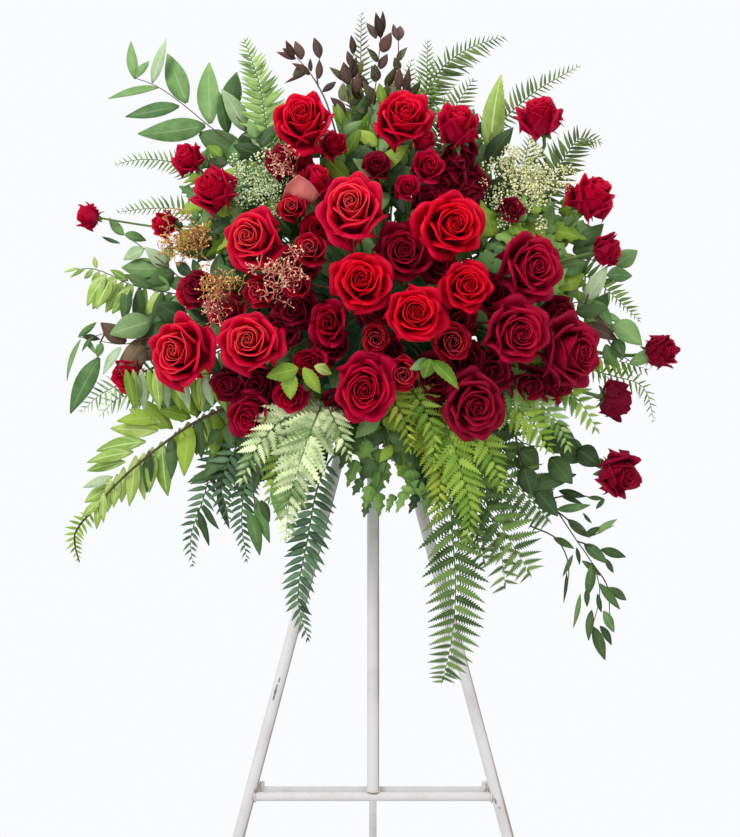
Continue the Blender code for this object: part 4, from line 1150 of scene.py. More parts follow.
# Piece, node it stands for, seat, route, kind, pairs, bare share, longest blade, green, and what
# differs from a plain frond.
FERNS = (
    ("top_fern", "fern_top", ("top", -35, 0), ((-19, 45, 330), (-17, 40, 444)),
     "fine", 26, 0.42, 24, FERN_OLIVE, {}),
    ("top_left_fern", None, ("top", -60, 1),
     ((-146, 85, 250), (-164, 70, 335), (-187, 60, 402)),
     "sword", 36, 0.30, 41, FERN_FRESH, {}),
    ("top_right_fern", "fern_top_right", ("top", 16, 0),
     ((72, 50, 310), (106, 40, 365), (150, 35, 392), (197, 30, 406)),
     "fine", 34, 0.38, 36, FERN_OLIVE, {"sides": (0.75, 1.1)}),
    ("top_right_inner_fern", None, ("top", 26, 0), ((74, 60, 300), (79, 50, 402)),
     "fine", 27, 0.40, 30, FERN_GREEN, {}),
    ("top_right_low_fern", None, ("top", 40, 0), ((100, 80, 270), (146, 60, 344)),
     "fine", 25, 0.34, 40, FERN_OLIVE, {}),
    ("top_middle_fern", None, ("top", 6, 0), ((40, 90, 290), (56, 80, 372)),
     "fine", 22, 0.42, 26, FERN_GREEN, {}),
    ("top_right_back_fern", None, ("top", 60, 0), ((180, 50, 260), (187, 40, 345)),
     "fine", 24, 0.45, 15, FERN_DARK, {}),
    ("upper_right_fern", None, ("top", 66, 0),
     ((190, 60, 285), (232, 50, 322), (305, 45, 364)),
     "fine", 32, 0.36, 30, FERN_OLIVE, {"sides": (1.1, 0.7)}),
    ("right_side_fern", None, ("right", 80, 0),
     ((242, 85, 180), (272, 75, 222), (300, 65, 256), (334, 55, 248)),
     "fine", 34, 0.34, 44, FERN_OLIVE, {}),
    ("cream_side_fern", None, ("top", 80, 1), ((200, 110, 180), (226, 95, 265)),
     "fine", 26, 0.40, 36, FERN_GREEN, {"sides": (0.8, 1.1)}),
    ("left_upper_fern", None, ("left", 80, 0),
     ((-290, 70, 221), (-345, 50, 225), (-381, 40, 217)),
     "fine", 26, 0.40, 24, FERN_GREEN, {}),
    ("left_middle_fern", None, ("left", 50, 0),
     ((-280, 80, 153), (-343, 60, 153), (-376, 50, 148)),
     "fine", 26, 0.38, 26, FERN_GREEN, {"sides": (0.7, 1.1)}),
    ("right_edge_fern", None, ("right", 25, 0),
     ((318, 100, 50), (352, 90, 22), (388, 80, -12)),
     "sword", 24, 0.46, 30, FERN_GREEN, {"sides": (1.1, 0.5)}),
    ("right_low_edge_fern", None, ("right", -35, 0),
     ((300, 120, -55), (350, 110, -64), (398, 100, -78)),
     "sword", 20, 0.46, 34, FERN_LIME, {"sides": (0.4, 1.1)}),
    ("right_seed_fern", None, ("right", -50, 0),
     ((340, 110, -85), (385, 100, -100), (405, 95, -160)),
     "fine", 18, 0.55, 22, FERN_LIME, {}),
    ("left_low_edge_fern", None, ("left", -30, 0),
     ((-360, 80, -95), (-400, 70, -118), (-428, 60, -145)),
     "fine", 18, 0.58, 30, FERN_PALE, {}),
    ("left_low_feather_fern", None, ("left", -45, 0),
     ((-330, 85, -110), (-370, 75, -120), (-400, 65, -150)),
     "fine", 16, 0.58, 30, FERN_PALE, {}),
    ("dark_low_fern", "fern_low_dark", ("bottom", -20, 0),
     ((-75, 130, -230), (-94, 125, -320), (-107, 110, -415), (-90, 100, -474)),
     "tassel", 24, 0.36, 38, FERN_DARK, {"hang": 0.10}),
    ("dark_left_fern", None, ("left", -80, 0),
     ((-225, 120, -200), (-243, 115, -262), (-262, 105, -320), (-258, 95, -368)),
     "tassel", 24, 0.34, 28, FERN_DARK, {}),
    ("dark_left_inner_fern", None, ("bottom", -75, 0),
     ((-176, 125, -220), (-188, 115, -290), (-180, 105, -358)),
     "tassel", 22, 0.34, 28, FERN_DARK, {}),
    ("dark_left_middle_fern", None, ("bottom", -85, 1),
     ((-190, 140, -180), (-215, 130, -240), (-205, 120, -300)),
     "tassel", 16, 0.40, 32, FERN_DARK, {}),
    ("low_right_fern", "fern_low_right", ("bottom", 40, 1),
     ((100, 205, -200), (110, 200, -300), (115, 190, -390), (110, 180, -455),
      (96, 170, -520)),
     "lady", 24, 0.36, 66, FERN_DEEP, {"sides": (1.0, 0.85), "hang": 0.12}),
    ("low_right_fan_fern", None, ("bottom", 70, 1),
     ((118, 195, -190), (150, 195, -255), (186, 185, -305), (222, 170, -365)),
     "lady", 14, 0.34, 70, FERN_DEEP, {"sides": (1.0, 0.9), "hang": 0.15}),
    ("low_right_inner_fern", None, ("bottom", 55, 0),
     ((100, 170, -190), (130, 170, -270), (158, 165, -350)),
     "lady", 11, 0.38, 56, FERN_DEEP, {"hang": 0.2}),
    ("low_right_fan_left_fern", None, ("bottom", 62, 1),
     ((128, 185, -190), (165, 185, -280), (180, 178, -335), (186, 170, -385)),
     "lady", 11, 0.38, 54, FERN_OLIVE, {"hang": 0.25}),
    ("dark_right_fern", None, ("bottom", 85, 0),
     ((150, 150, -170), (200, 150, -235), (250, 145, -290)),
     "lady", 15, 0.36, 66, FERN_DEEP, {}),
    ("lacy_low_fern", "fern_low_centre_left", ("bottom", -55, 1),
     ((-75, 215, -130), (-96, 232, -185), (-114, 230, -245), (-122, 215, -314)),
     "lacy", 17, 0.42, 55, FERN_PALE, {"hang": 0.35}),
    ("lacy_low_left_fern", None, ("bottom", -70, 1),
     ((-110, 200, -130), (-155, 222, -172), (-186, 212, -235)),
     "lacy", 15, 0.38, 48, FERN_PALE, {"hang": 0.35}),
    ("lacy_low_right_fern", None, ("bottom", -40, 1),
     ((-60, 215, -130), (-45, 235, -160), (-30, 228, -200)),
     "lacy", 13, 0.38, 42, FERN_PALE, {"hang": 0.35}),
    ("lacy_low_inner_fern", None, ("bottom", -62, 1),
     ((-92, 195, -140), (-128, 205, -190), (-146, 198, -262)),
     "lacy", 15, 0.38, 46, FERN_LIME, {"hang": 0.35}),
    ("gold_low_fern", None, ("bottom", 10, 1),
     ((20, 215, -105), (40, 240, -135), (52, 240, -190)),
     "lacy", 15, 0.34, 40, FERN_GOLD, {"hang": 0.2}),
    ("gold_low_inner_fern", None, ("bottom", 25, 1),
     ((60, 215, -110), (80, 235, -150), (84, 230, -205)),
     "lacy", 15, 0.34, 42, FERN_LIME, {"hang": 0.2}),
    ("gold_low_centre_fern", None, ("bottom", 45, 1),
     ((78, 208, -150), (92, 214, -215), (88, 208, -285)),
     "lacy", 17, 0.34, 46, FERN_GOLD, {"hang": 0.25}),
    ("gold_low_right_fern", None, ("bottom", 55, 1),
     ((100, 215, -150), (122, 222, -215), (134, 215, -275), (128, 205, -320)),
     "lacy", 20, 0.32, 52, FERN_LIME, {"hang": 0.25}),
    ("gold_low_edge_fern", None, ("bottom", 70, 1),
     ((120, 205, -130), (158, 215, -180), (180, 210, -245)),
     "lacy", 17, 0.34, 52, FERN_LIME, {"hang": 0.2}),
    ("lacy_right_fern", None, ("right", -60, 0),
     ((185, 190, -115), (222, 205, -150), (250, 200, -190)),
     "lacy", 19, 0.34, 58, FERN_LIME, {}),
    ("lacy_right_inner_fern", None, ("right", -45, 1),
     ((165, 190, -85), (215, 195, -108), (258, 190, -150), (276, 185, -190)),
     "lacy", 20, 0.34, 52, FERN_FRESH, {"hang": 0.3}),
    ("lacy_right_top_fern", None, ("right", -15, 1),
     ((205, 170, -55), (250, 175, -85), (292, 170, -128)),
     "lacy", 17, 0.34, 50, FERN_LIME, {"hang": 0.3}),
    ("lacy_right_edge_fern", None, ("right", -30, 0),
     ((240, 170, -80), (285, 175, -115), (318, 165, -165)),
     "lacy", 16, 0.36, 50, FERN_LIME, {}),
)
for name, node, seat, route, kind, pairs, bare_share, longest, green, others in FERNS:
    made = frond(name, route_from(seat, *route), kind, pairs, bare_share, longest / 1000, green, **others)
    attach(made, "front_frame")
    if node:
        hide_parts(node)

# ----------------------------------------
# Leafy sprigs
# Ruscus, salal, ivy and rose leaves on thin woody stems. A leaf has a midrib, side veins, two
# halves that fold a little, and a paler underside.
# ----------------------------------------
(
    LEAF_GREEN, LEAF_DEEP, LEAF_LIME, LEAF_COMB, LEAF_PALE, UNDERSIDE, IVY_GREEN, LEAF_BROWN, BARK
) = (leaf_material(*row) for row in (
    ("ruscus_green", (0.055, 0.14, 0.040), (0.19, 0.34, 0.11), (0.34, 0.47, 0.24), 8.0, 0.30, 0.38),
    ("deep_leaf_green", (0.018, 0.045, 0.014), (0.075, 0.145, 0.045), (0.15, 0.24, 0.09),
     8.0, 0.3, 0.38),
    ("lime_leaf", (0.10, 0.21, 0.012), (0.28, 0.42, 0.045), (0.42, 0.52, 0.16), 8.0, 0.4, 0.42),
    # yellow_green_leaflet: its broad pale stripe along the midrib is partly vein and partly a painted gloss
    # reflection.
    ("yellow_green_leaflet", (0.12, 0.25, 0.03), (0.38, 0.52, 0.12), (0.60, 0.70, 0.36),
     1.0, 0.75, 0.42),
    ("pale_leaf", (0.24, 0.37, 0.18), (0.50, 0.63, 0.40), (0.66, 0.74, 0.56), 8.0, 0.4, 0.5),
    ("leaf_underside", (0.095, 0.185, 0.060), (0.25, 0.38, 0.155), (0.38, 0.50, 0.27), 8.0, 0.4, 0.5),
    ("ivy_green", (0.070, 0.18, 0.030), (0.24, 0.42, 0.10), (0.40, 0.54, 0.24), 8.0, 0.35, 0.4),
    ("brown_leaf", (0.055, 0.030, 0.018), (0.20, 0.14, 0.075), (0.26, 0.17, 0.10), 8.0, 0.3, 0.4),
    ("purple_bark", (0.045, 0.025, 0.022), (0.13, 0.08, 0.06), (0.1, 0.07, 0.05), 1.0, 0.1),
))


def leaf_shape(name, cuts, half_width, widest, teeth=0.0, fold=0.30, lobes=0.0):
    """A leaf of unit length along X whose underside uses the second material."""
    made = blade(name, cuts, half_width, teeth, fold, LEAF_DROOP, LEAF_WALL, widest, lobes)
    coat(made, LEAF_GREEN, UNDERSIDE)
    facing_down = [int(p.normal.z < 0) for p in made.data.polygons]
    made.data.polygons.foreach_set("material_index", facing_down)
    return made


LEAF_DROOP, LEAF_WALL = 0.18, 0.009
HALF_WIDTHS = {"ruscus": 0.200, "narrow": 0.125, "broad": 0.300, "rose": 0.310, "ivy": 0.400}
LEAVES = {
    "ruscus": leaf_shape("ruscus_leaf", 9, HALF_WIDTHS["ruscus"], 0.42),
    "narrow": leaf_shape("narrow_leaf", 7, HALF_WIDTHS["narrow"], 0.45),
    "broad": leaf_shape("broad_leaf", 8, HALF_WIDTHS["broad"], 0.42, fold=0.22),
    "rose": leaf_shape("rose_leaf", 16, HALF_WIDTHS["rose"], 0.42, 0.12),
    "ivy": leaf_shape("ivy_leaf", 14, HALF_WIDTHS["ivy"], 0.30, 0.14, 0.2, lobes=0.45),
}


def leaf_at(name, kind, foot, way, face, length, front, back=None, tone=0.5, width=1.0, bend=0.0,
            twist=0.0):
    """One leaf of a kind with its two greens and its tone."""
    made = grown(LEAVES[kind], name, foot, way, face, length, width, bend, twist)
    made.data.materials[0] = front
    made.data.materials[1] = back or UNDERSIDE
    mark(made, "tone", tone)
    return made


def sprig(name, line, kind, count, length, greens, seed, bare_share, splay, width):
    """A stem with leaves on alternate sides and one at its tip."""
    luck = random.Random(seed)
    face, radius = Vector((0.0, -1.0, 0.15)), 0.0016
    made = [stem_along(name + "_stem", line, (radius, radius * 0.8, radius * 0.4), BARK, 1)]
    for i in range(count):
        t = bare_share + (1 - bare_share) * (i / max(1, count - 1)) ** 0.95
        foot, way = on_line(line, t)
        side = 0 if i == count - 1 else (1 if i % 2 else -1)
        outward = face.cross(way).normalized() * side
        angle = math.radians(splay * luck.uniform(0.7, 1.25)) if side else 0
        heading = way * math.cos(angle) + outward * math.sin(angle)
        heading += Vector((luck.uniform(-0.15, 0.15), luck.uniform(-0.35, 0.10), luck.uniform(-0.15, 0.1)))
        looks = face + stray(luck, 0.45)
        size = length * luck.uniform(0.78, 1.12) * (1 - 0.35 * max(0.0, t - 0.7) / 0.3)
        made.append(leaf_at(
            f"{name}_{i}", kind, foot, heading, looks, size, greens[i % len(greens)], None,
            luck.uniform(0.15, 0.85), width, luck.uniform(-0.12, 0.12), luck.uniform(-0.4, 0.4),
        ))
    return joined(made, name)


def placed_sprig(name, depth, seat, stems, leaves, seed, bark=BARK, radius=0.0014, back=None):
    """A sprig whose leaves are set one by one.

    A stem is a list of points right, forward and up; the first stem starts in the foam. A leaf
    is its kind and green, the foot and the tip, each right and up, and its width.
    """
    luck = random.Random(seed)
    made = []
    for number, places in enumerate(stems):
        line = route_from(seat, *places) if number == 0 else through([spot(*p) for p in places], 10)
        made.append(stem_along(
            f"{name}_stem_{number}", line, (radius, radius * 0.8, radius * 0.45), bark, 1
        ))
    for number, (kind, green, foot_x, foot_z, tip_x, tip_z, width) in enumerate(leaves):
        foot = spot(foot_x, depth + luck.uniform(-8, 8), foot_z)
        tip = spot(tip_x, depth + luck.uniform(-15, 20), tip_z)
        way = tip - foot
        looks = Vector((luck.uniform(-0.35, 0.35), -1, luck.uniform(-0.15, 0.5)))
        made.append(leaf_at(
            f"{name}_{number}", kind, foot, way, looks, way.length, green, back,
            luck.uniform(0.2, 0.8), width / 1000 / way.length / (2 * HALF_WIDTHS[kind]),
            luck.uniform(-0.10, 0.10), luck.uniform(-0.3, 0.3),
        ))
    return joined(made, name)


# Short names for the tables: the kinds of leaf and the greens.
R, N, B, T, I = "ruscus", "narrow", "broad", "rose", "ivy"
G, D, L, C, P, W, V = (
    LEAF_GREEN, LEAF_DEEP, LEAF_LIME, LEAF_COMB, LEAF_PALE, LEAF_BROWN, IVY_GREEN
)
# Piece, node, depth, seat, stems and leaves, as placed_sprig takes them.
PLACED = (
    ("top_left_ruscus", "ruscus_top_left", 60, ("top", -56, 0), (
        ((-150, 90, 215), (-235, 70, 272), (-275, 62, 305),
         (-315, 60, 332), (-343, 60, 342)),
        ((-190, 75, 250), (-183, 70, 266), (-200, 66, 290)),
    ), (
        (R, G, -343, 341, -354, 396, 16), (R, G, -342, 342, -325, 370, 13), (R, P, -318, 335, -297, 396, 16),
        (R, G, -268, 306, -298, 382, 34), (R, G, -234, 276, -239, 370, 34), (R, D, -214, 292, -190, 350, 30),
        (R, P, -183, 266, -211, 325, 27), (R, G, -309, 328, -384, 316, 13), (R, G, -280, 302, -356, 288, 22),
        (R, G, -242, 274, -333, 254, 34), (R, D, -250, 262, -160, 220, 40), (R, P, -177, 264, -138, 232, 23),
        (R, G, -210, 264, -222, 316, 21), (R, D, -196, 250, -150, 262, 24),
    )),
    ("left_grey_leaves", None, 90, ("left", 30, 0), (
        ((-265, 110, 45), (-293, 95, 70), (-330, 90, 98), (-358, 85, 117)),
        ((-293, 95, 70), (-310, 92, 74), (-330, 90, 80)),
    ), (
        (R, G, -358, 116, -379, 140, 15), (R, G, -355, 117, -324, 109, 15), (N, D, -362, 104, -392, 112, 6),
        (R, P, -293, 70, -326, 94, 22), (B, G, -304, 68, -360, 68, 30), (R, P, -328, 96, -358, 82, 20),
        (B, D, -285, 62, -320, 52, 26), (R, G, -300, 74, -290, 104, 18),
    )),
    ("left_comb_fern", None, 105, ("left", 10, 0), (
        ((-260, 125, 28), (-304, 112, 36), (-352, 105, 47),
         (-378, 100, 60), (-403, 95, 68), (-428, 90, 66)),
    ), (
        (N, C, -380, 60, -412, 18, 20), (R, C, -366, 54, -408, 10, 26), (N, C, -372, 56, -396, 14, 20),
        (N, C, -358, 49, -381, 4, 20), (N, C, -342, 45, -368, 3, 20), (N, C, -325, 40, -346, -22, 23),
        (N, C, -308, 37, -322, -28, 21), (N, G, -290, 34, -304, -18, 24), (N, D, -333, 42, -336, -22, 18),
        (N, D, -300, 36, -310, -20, 18), (N, G, -276, 32, -286, -20, 22), (N, C, -390, 64, -404, 40, 12),
        (N, C, -398, 67, -415, 50, 9), (N, C, -410, 68, -428, 57, 6), (N, C, -395, 68, -398, 84, 8),
        (N, C, -350, 50, -372, 66, 12), (N, C, -420, 68, -440, 64, 5), (N, D, -316, 40, -352, 60, 16),
        (R, G, -290, 38, -330, 58, 24), (R, D, -268, 30, -296, 2, 24), (N, D, -350, 46, -352, -8, 18),
        (R, D, -262, 40, -300, 54, 22),
    )),
    ("left_brown_leaves", None, 115, ("left", -10, 1), (
        ((-270, 140, -20), (-323, 120, -32), (-355, 115, -40),
         (-388, 110, -36)),
    ), (
        (R, W, -323, -30, -364, -84, 28), (B, W, -352, -38, -384, -8, 27),
        (B, UNDERSIDE, -316, -6, -370, -26, 38), (B, G, -326, -50, -366, -78, 30),
        (B, W, -296, -20, -344, -60, 42), (B, W, -300, -40, -350, -58, 34), (R, D, -288, -8, -322, -44, 32),
        (B, D, -270, -4, -304, 16, 34), (B, V, -262, -36, -300, -52, 30), (R, G, -385, -38, -393, -58, 12),
        (R, P, -358, -44, -388, -84, 16), (R, W, -324, -50, -336, -74, 15), (R, D, -300, -28, -330, -60, 20),
    )),
    ("left_ruscus", "ruscus_left", 85, ("left", 0, 0), (
        ((-320, 110, -18), (-375, 95, -22), (-405, 88, -30),
         (-422, 85, -31)),
        ((-385, 90, -25), (-394, 88, -45), (-395, 85, -62)),
    ), (
        (N, G, -424, -30, -398, -8, 10), (N, G, -421, -34, -447, -86, 8), (N, D, -417, -30, -391, -31, 10),
        (R, G, -394, -60, -441, -140, 29), (N, G, -412, -34, -400, -52, 8), (N, D, -402, -30, -418, -46, 7),
    )),
    ("low_left_fern", "fern_low_left", 130, ("left", -64, 0), (
        ((-170, 170, -120), (-224, 155, -136), (-317, 140, -196),
         (-392, 130, -268), (-427, 120, -316), (-421, 110, -352)),
    ), (
        (N, L, -295, -142, -362, -147, 22), (N, C, -305, -162, -378, -160, 22),
        (N, C, -300, -150, -350, -132, 18), (N, C, -323, -178, -398, -185, 23),
        (N, C, -340, -192, -404, -200, 18), (N, C, -351, -206, -411, -216, 17),
        (N, P, -370, -228, -411, -240, 14), (N, C, -373, -240, -411, -266, 20),
        (N, C, -388, -262, -414, -282, 12), (N, C, -301, -178, -296, -257, 27),
        (N, C, -326, -194, -336, -262, 20), (N, C, -314, -186, -316, -248, 18),
        (N, C, -337, -198, -348, -270, 20), (N, C, -354, -214, -359, -268, 17),
        (N, C, -364, -224, -368, -272, 14), (N, C, -373, -230, -377, -285, 15),
        (N, C, -383, -250, -384, -292, 12), (N, C, -393, -268, -388, -300, 11),
        (N, D, -288, -172, -281, -226, 18), (N, L, -281, -164, -278, -196, 14),
        (N, L, -262, -150, -265, -224, 27), (N, L, -274, -158, -268, -212, 18),
        (N, D, -247, -144, -242, -202, 20), (N, L, -228, -132, -224, -198, 30),
        (N, G, -240, -138, -240, -192, 20), (N, L, -212, -126, -206, -180, 24),
        (N, D, -250, -150, -256, -196, 20), (N, L, -285, -160, -330, -118, 22),
        (N, G, -270, -150, -306, -104, 22), (N, L, -250, -142, -282, -100, 20),
        (N, C, -232, -134, -258, -98, 18), (N, D, -318, -190, -324, -250, 16),
        (N, L, -290, -158, -345, -134, 22), (N, L, -258, -144, -300, -128, 22),
    )),
    ("left_leaflets", None, 175, ("left", -30, 1), (
        ((-190, 190, -75), (-250, 185, -80), (-300, 170, -72), (-345, 155, -82)),
    ), tuple(
        (N, (P, C, L)[i % 3], -205 - 10 * i, -82 + (8 if i > 7 else 0), -198 - 10 * i + 4 * (i % 3),
         -134 + 2 * (i % 4), 15)
        for i in range(15)
    )),
    ("hanging_dark_leaves", None, 125, ("left", -70, 1), (
        ((-150, 150, -190), (-200, 135, -220), (-240, 125, -240)),
        ((-150, 150, -190), (-170, 130, -240), (-168, 125, -275)),
    ), (
        (N, D, -250, -275, -233, -326, 11), (N, D, -242, -268, -222, -302, 11),
        (N, D, -222, -242, -205, -303, 12), (N, G, -178, -276, -158, -342, 20),
        (N, G, -168, -258, -148, -324, 18), (N, D, -160, -262, -146, -290, 14),
        (R, D, -200, -215, -225, -250, 20), (R, D, -185, -215, -190, -262, 20),
        (R, D, -212, -220, -262, -228, 16), (R, D, -150, -205, -140, -250, 20),
        (B, D, -170, -185, -205, -222, 32), (B, D, -185, -200, -222, -242, 34),
        (B, D, -165, -215, -190, -262, 32), (B, D, -205, -190, -240, -222, 30),
        (B, D, -140, -195, -165, -240, 30), (B, D, -195, -175, -238, -188, 28),
        (R, G, -140, -230, -132, -292, 20), (R, D, -125, -225, -112, -282, 20),
    )),
    ("trailing_ruscus", "ruscus_low_right", 110, ("right", -78, 0), (
        ((190, 130, -190), (235, 120, -240), (266, 115, -283),
         (292, 110, -322), (314, 110, -354), (326, 105, -395), (316, 100, -446)),
        ((258, 115, -275), (280, 112, -292), (308, 110, -314), (345, 105, -300)),
        ((292, 110, -322), (315, 110, -330), (345, 105, -345)),
        ((225, 115, -300), (262, 112, -318), (280, 110, -355), (278, 105, -395)),
        ((250, 115, -262), (285, 112, -255), (325, 110, -262)),
        ((314, 110, -354), (335, 110, -385), (340, 105, -430)),
    ), (
        (N, D, 266, -250, 301, -257, 12), (N, D, 269, -257, 298, -265, 8), (N, G, 263, -277, 307, -270, 13),
        (N, D, 279, -291, 309, -317, 14), (N, D, 303, -314, 323, -302, 11), (N, G, 318, -309, 348, -291, 10),
        (N, D, 307, -259, 331, -260, 7), (N, D, 331, -261, 318, -276, 7), (N, D, 300, -281, 314, -301, 5),
        (N, D, 259, -318, 288, -331, 11), (N, D, 303, -327, 333, -347, 17), (N, D, 326, -333, 361, -342, 14),
        (N, D, 331, -346, 346, -368, 9), (N, D, 300, -351, 329, -371, 10), (N, G, 313, -356, 312, -406, 16),
        (N, D, 325, -383, 351, -419, 13), (N, D, 337, -388, 370, -409, 13), (N, G, 330, -422, 347, -451, 14),
        (N, D, 326, -445, 348, -472, 12), (N, D, 316, -446, 336, -491, 17), (N, D, 314, -422, 305, -460, 12),
        (N, D, 308, -388, 306, -420, 9), (N, D, 322, -398, 326, -427, 8), (N, G, 297, -398, 286, -443, 8),
        (N, D, 278, -368, 275, -408, 5), (N, D, 286, -342, 272, -371, 7), (N, D, 292, -332, 296, -355, 7),
        (N, D, 240, -238, 262, -262, 15),
    )),
    ("low_right_dark_leaves", None, 150, ("right", -50, 1), (
        ((180, 165, -150), (215, 155, -180), (260, 150, -185), (300, 145, -195)),
        ((200, 160, -170), (215, 150, -215), (235, 145, -245)),
    ), (
        (B, D, 205, -190, 240, -214, 36), (B, D, 238, -162, 286, -184, 44), (B, D, 264, -182, 302, -204, 38),
        (B, D, 288, -188, 320, -206, 32), (B, D, 224, -242, 284, -217, 24), (B, D, 230, -246, 262, -278, 26),
        (B, D, 250, -200, 280, -232, 32), (B, D, 212, -212, 226, -254, 30),
    )),
    ("right_broad_leaves", None, 105, ("right", 45, 0), (
        ((230, 130, 60), (270, 120, 80), (310, 110, 80), (345, 105, 72)),
        ((250, 120, 70), (275, 115, 110), (290, 110, 130)),
    ), (
        (B, G, 272, 112, 318, 126, 36), (B, D, 285, 92, 326, 104, 34), (B, L, 262, 92, 278, 140, 30),
        (B, G, 258, 66, 304, 84, 38), (B, G, 252, 46, 292, 34, 36), (B, L, 262, 40, 300, 60, 28),
        (B, G, 345, 72, 374, 94, 27), (B, G, 334, 58, 370, 62, 24), (B, D, 246, 100, 262, 150, 30),
        (B, D, 240, 20, 282, 4, 32), (B, D, 300, 100, 322, 132, 24), (B, G, 255, 120, 300, 152, 24),
    )),
    ("right_grey_leaves", None, 130, ("right", 10, 0), (
        ((250, 140, 10), (300, 135, 18), (320, 132, -10), (345, 128, -25)),
        ((300, 135, 18), (304, 132, 30), (310, 130, 40)),
        ((320, 132, -10), (345, 128, -50), (368, 125, -66)),
    ), (
        (R, P, 302, 22, 329, 70, 24), (R, W, 304, 16, 330, -16, 12), (R, G, 312, 22, 341, -12, 18),
        (B, G, 341, -10, 381, -34, 34), (B, W, 298, -12, 348, -30, 22), (B, G, 342, -32, 356, -60, 22),
        (R, G, 364, -68, 409, -48, 19), (R, P, 318, -6, 352, -24, 14), (R, D, 286, 6, 330, 8, 22),
        (B, G, 330, -40, 344, -76, 20),
    )),
    ("top_right_blades", None, 110, ("top", 45, 1), (
        ((140, 130, 190), (160, 120, 225), (168, 115, 260)),
    ), (
        (B, C, 166, 230, 171, 338, 33), (B, D, 162, 214, 190, 268, 28), (B, G, 150, 210, 128, 240, 18),
        (R, G, 188, 150, 229, 124, 19), (B, L, 168, 140, 188, 110, 25), (B, D, 172, 200, 206, 226, 24),
        (R, G, 158, 205, 150, 262, 18), (B, D, 150, 190, 182, 176, 26),
    )),
    ("low_middle_ivy", None, 165, ("bottom", 10, 0), (
        ((12, 160, -150), (20, 165, -200), (4, 160, -245), (-5, 155, -262)),
        ((20, 165, -190), (55, 160, -205), (70, 158, -225), (40, 155, -250)),
        ((10, 160, -160), (-8, 158, -185), (-20, 155, -215)),
    ), (
        (I, V, 4, -150, -6, -190, 36), (I, V, 20, -156, 27, -200, 34), (I, V, -8, -172, -16, -212, 32),
        (I, V, 12, -186, 8, -228, 36), (I, D, -2, -200, -18, -238, 30), (I, V, 8, -216, 3, -256, 32),
        (I, V, -4, -238, -14, -270, 24), (I, V, 6, -248, 10, -282, 24), (I, D, -8, -260, -14, -286, 16),
        (I, V, -20, -160, -36, -204, 34), (I, D, -28, -176, -48, -214, 30), (I, V, -22, -202, -38, -242, 26),
        (I, D, -16, -228, -30, -256, 18), (I, V, 36, -156, 32, -202, 34), (I, V, 50, -170, 54, -214, 32),
        (I, L, 42, -188, 37, -224, 24), (I, D, 58, -188, 66, -232, 30), (I, D, 72, -202, 80, -250, 32),
        (I, V, 84, -212, 90, -252, 30), (I, V, 66, -230, 55, -264, 26), (I, V, 52, -238, 38, -262, 24),
        (I, V, 44, -246, 34, -274, 18), (I, D, 60, -250, 54, -278, 18), (I, V, 30, -252, 17, -268, 15),
        (I, V, 80, -242, 72, -278, 24), (I, V, 92, -238, 98, -274, 22), (I, D, 24, -256, 20, -274, 11),
        (I, V, 44, -200, 50, -240, 30), (I, V, 54, -214, 60, -252, 28), (I, D, 70, -226, 76, -264, 26),
        (I, V, 38, -174, 46, -214, 30), (I, V, 62, -160, 70, -200, 30), (I, D, -14, -150, -30, -186, 32),
        (I, V, 14, -204, 24, -238, 20),
    )),
)
for number, (name, node, depth, seat, stems, leaves) in enumerate(PLACED):
    bark = RIB_BROWN if name in ("left_comb_fern", "low_left_fern") else BARK
    made = placed_sprig(
        name, depth, seat, stems, leaves, 200 + number, bark,
        0.0026 if name == "low_left_fern" else 0.0014,
    )
    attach(made, "front_frame")
    if node:
        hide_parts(node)

# The thin end of the low left fern, where its leaflets have become small blades.
tail = frond(
    "low_left_fern_tail",
    through([spot(*p) for p in ((-392, 130, -268), (-427, 120, -316),
                                (-421, 110, -352))], 14),
    "tassel", 11, 0.10, 0.018, FERN_LIME, RIB_BROWN,
)
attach(tail, "front_frame")

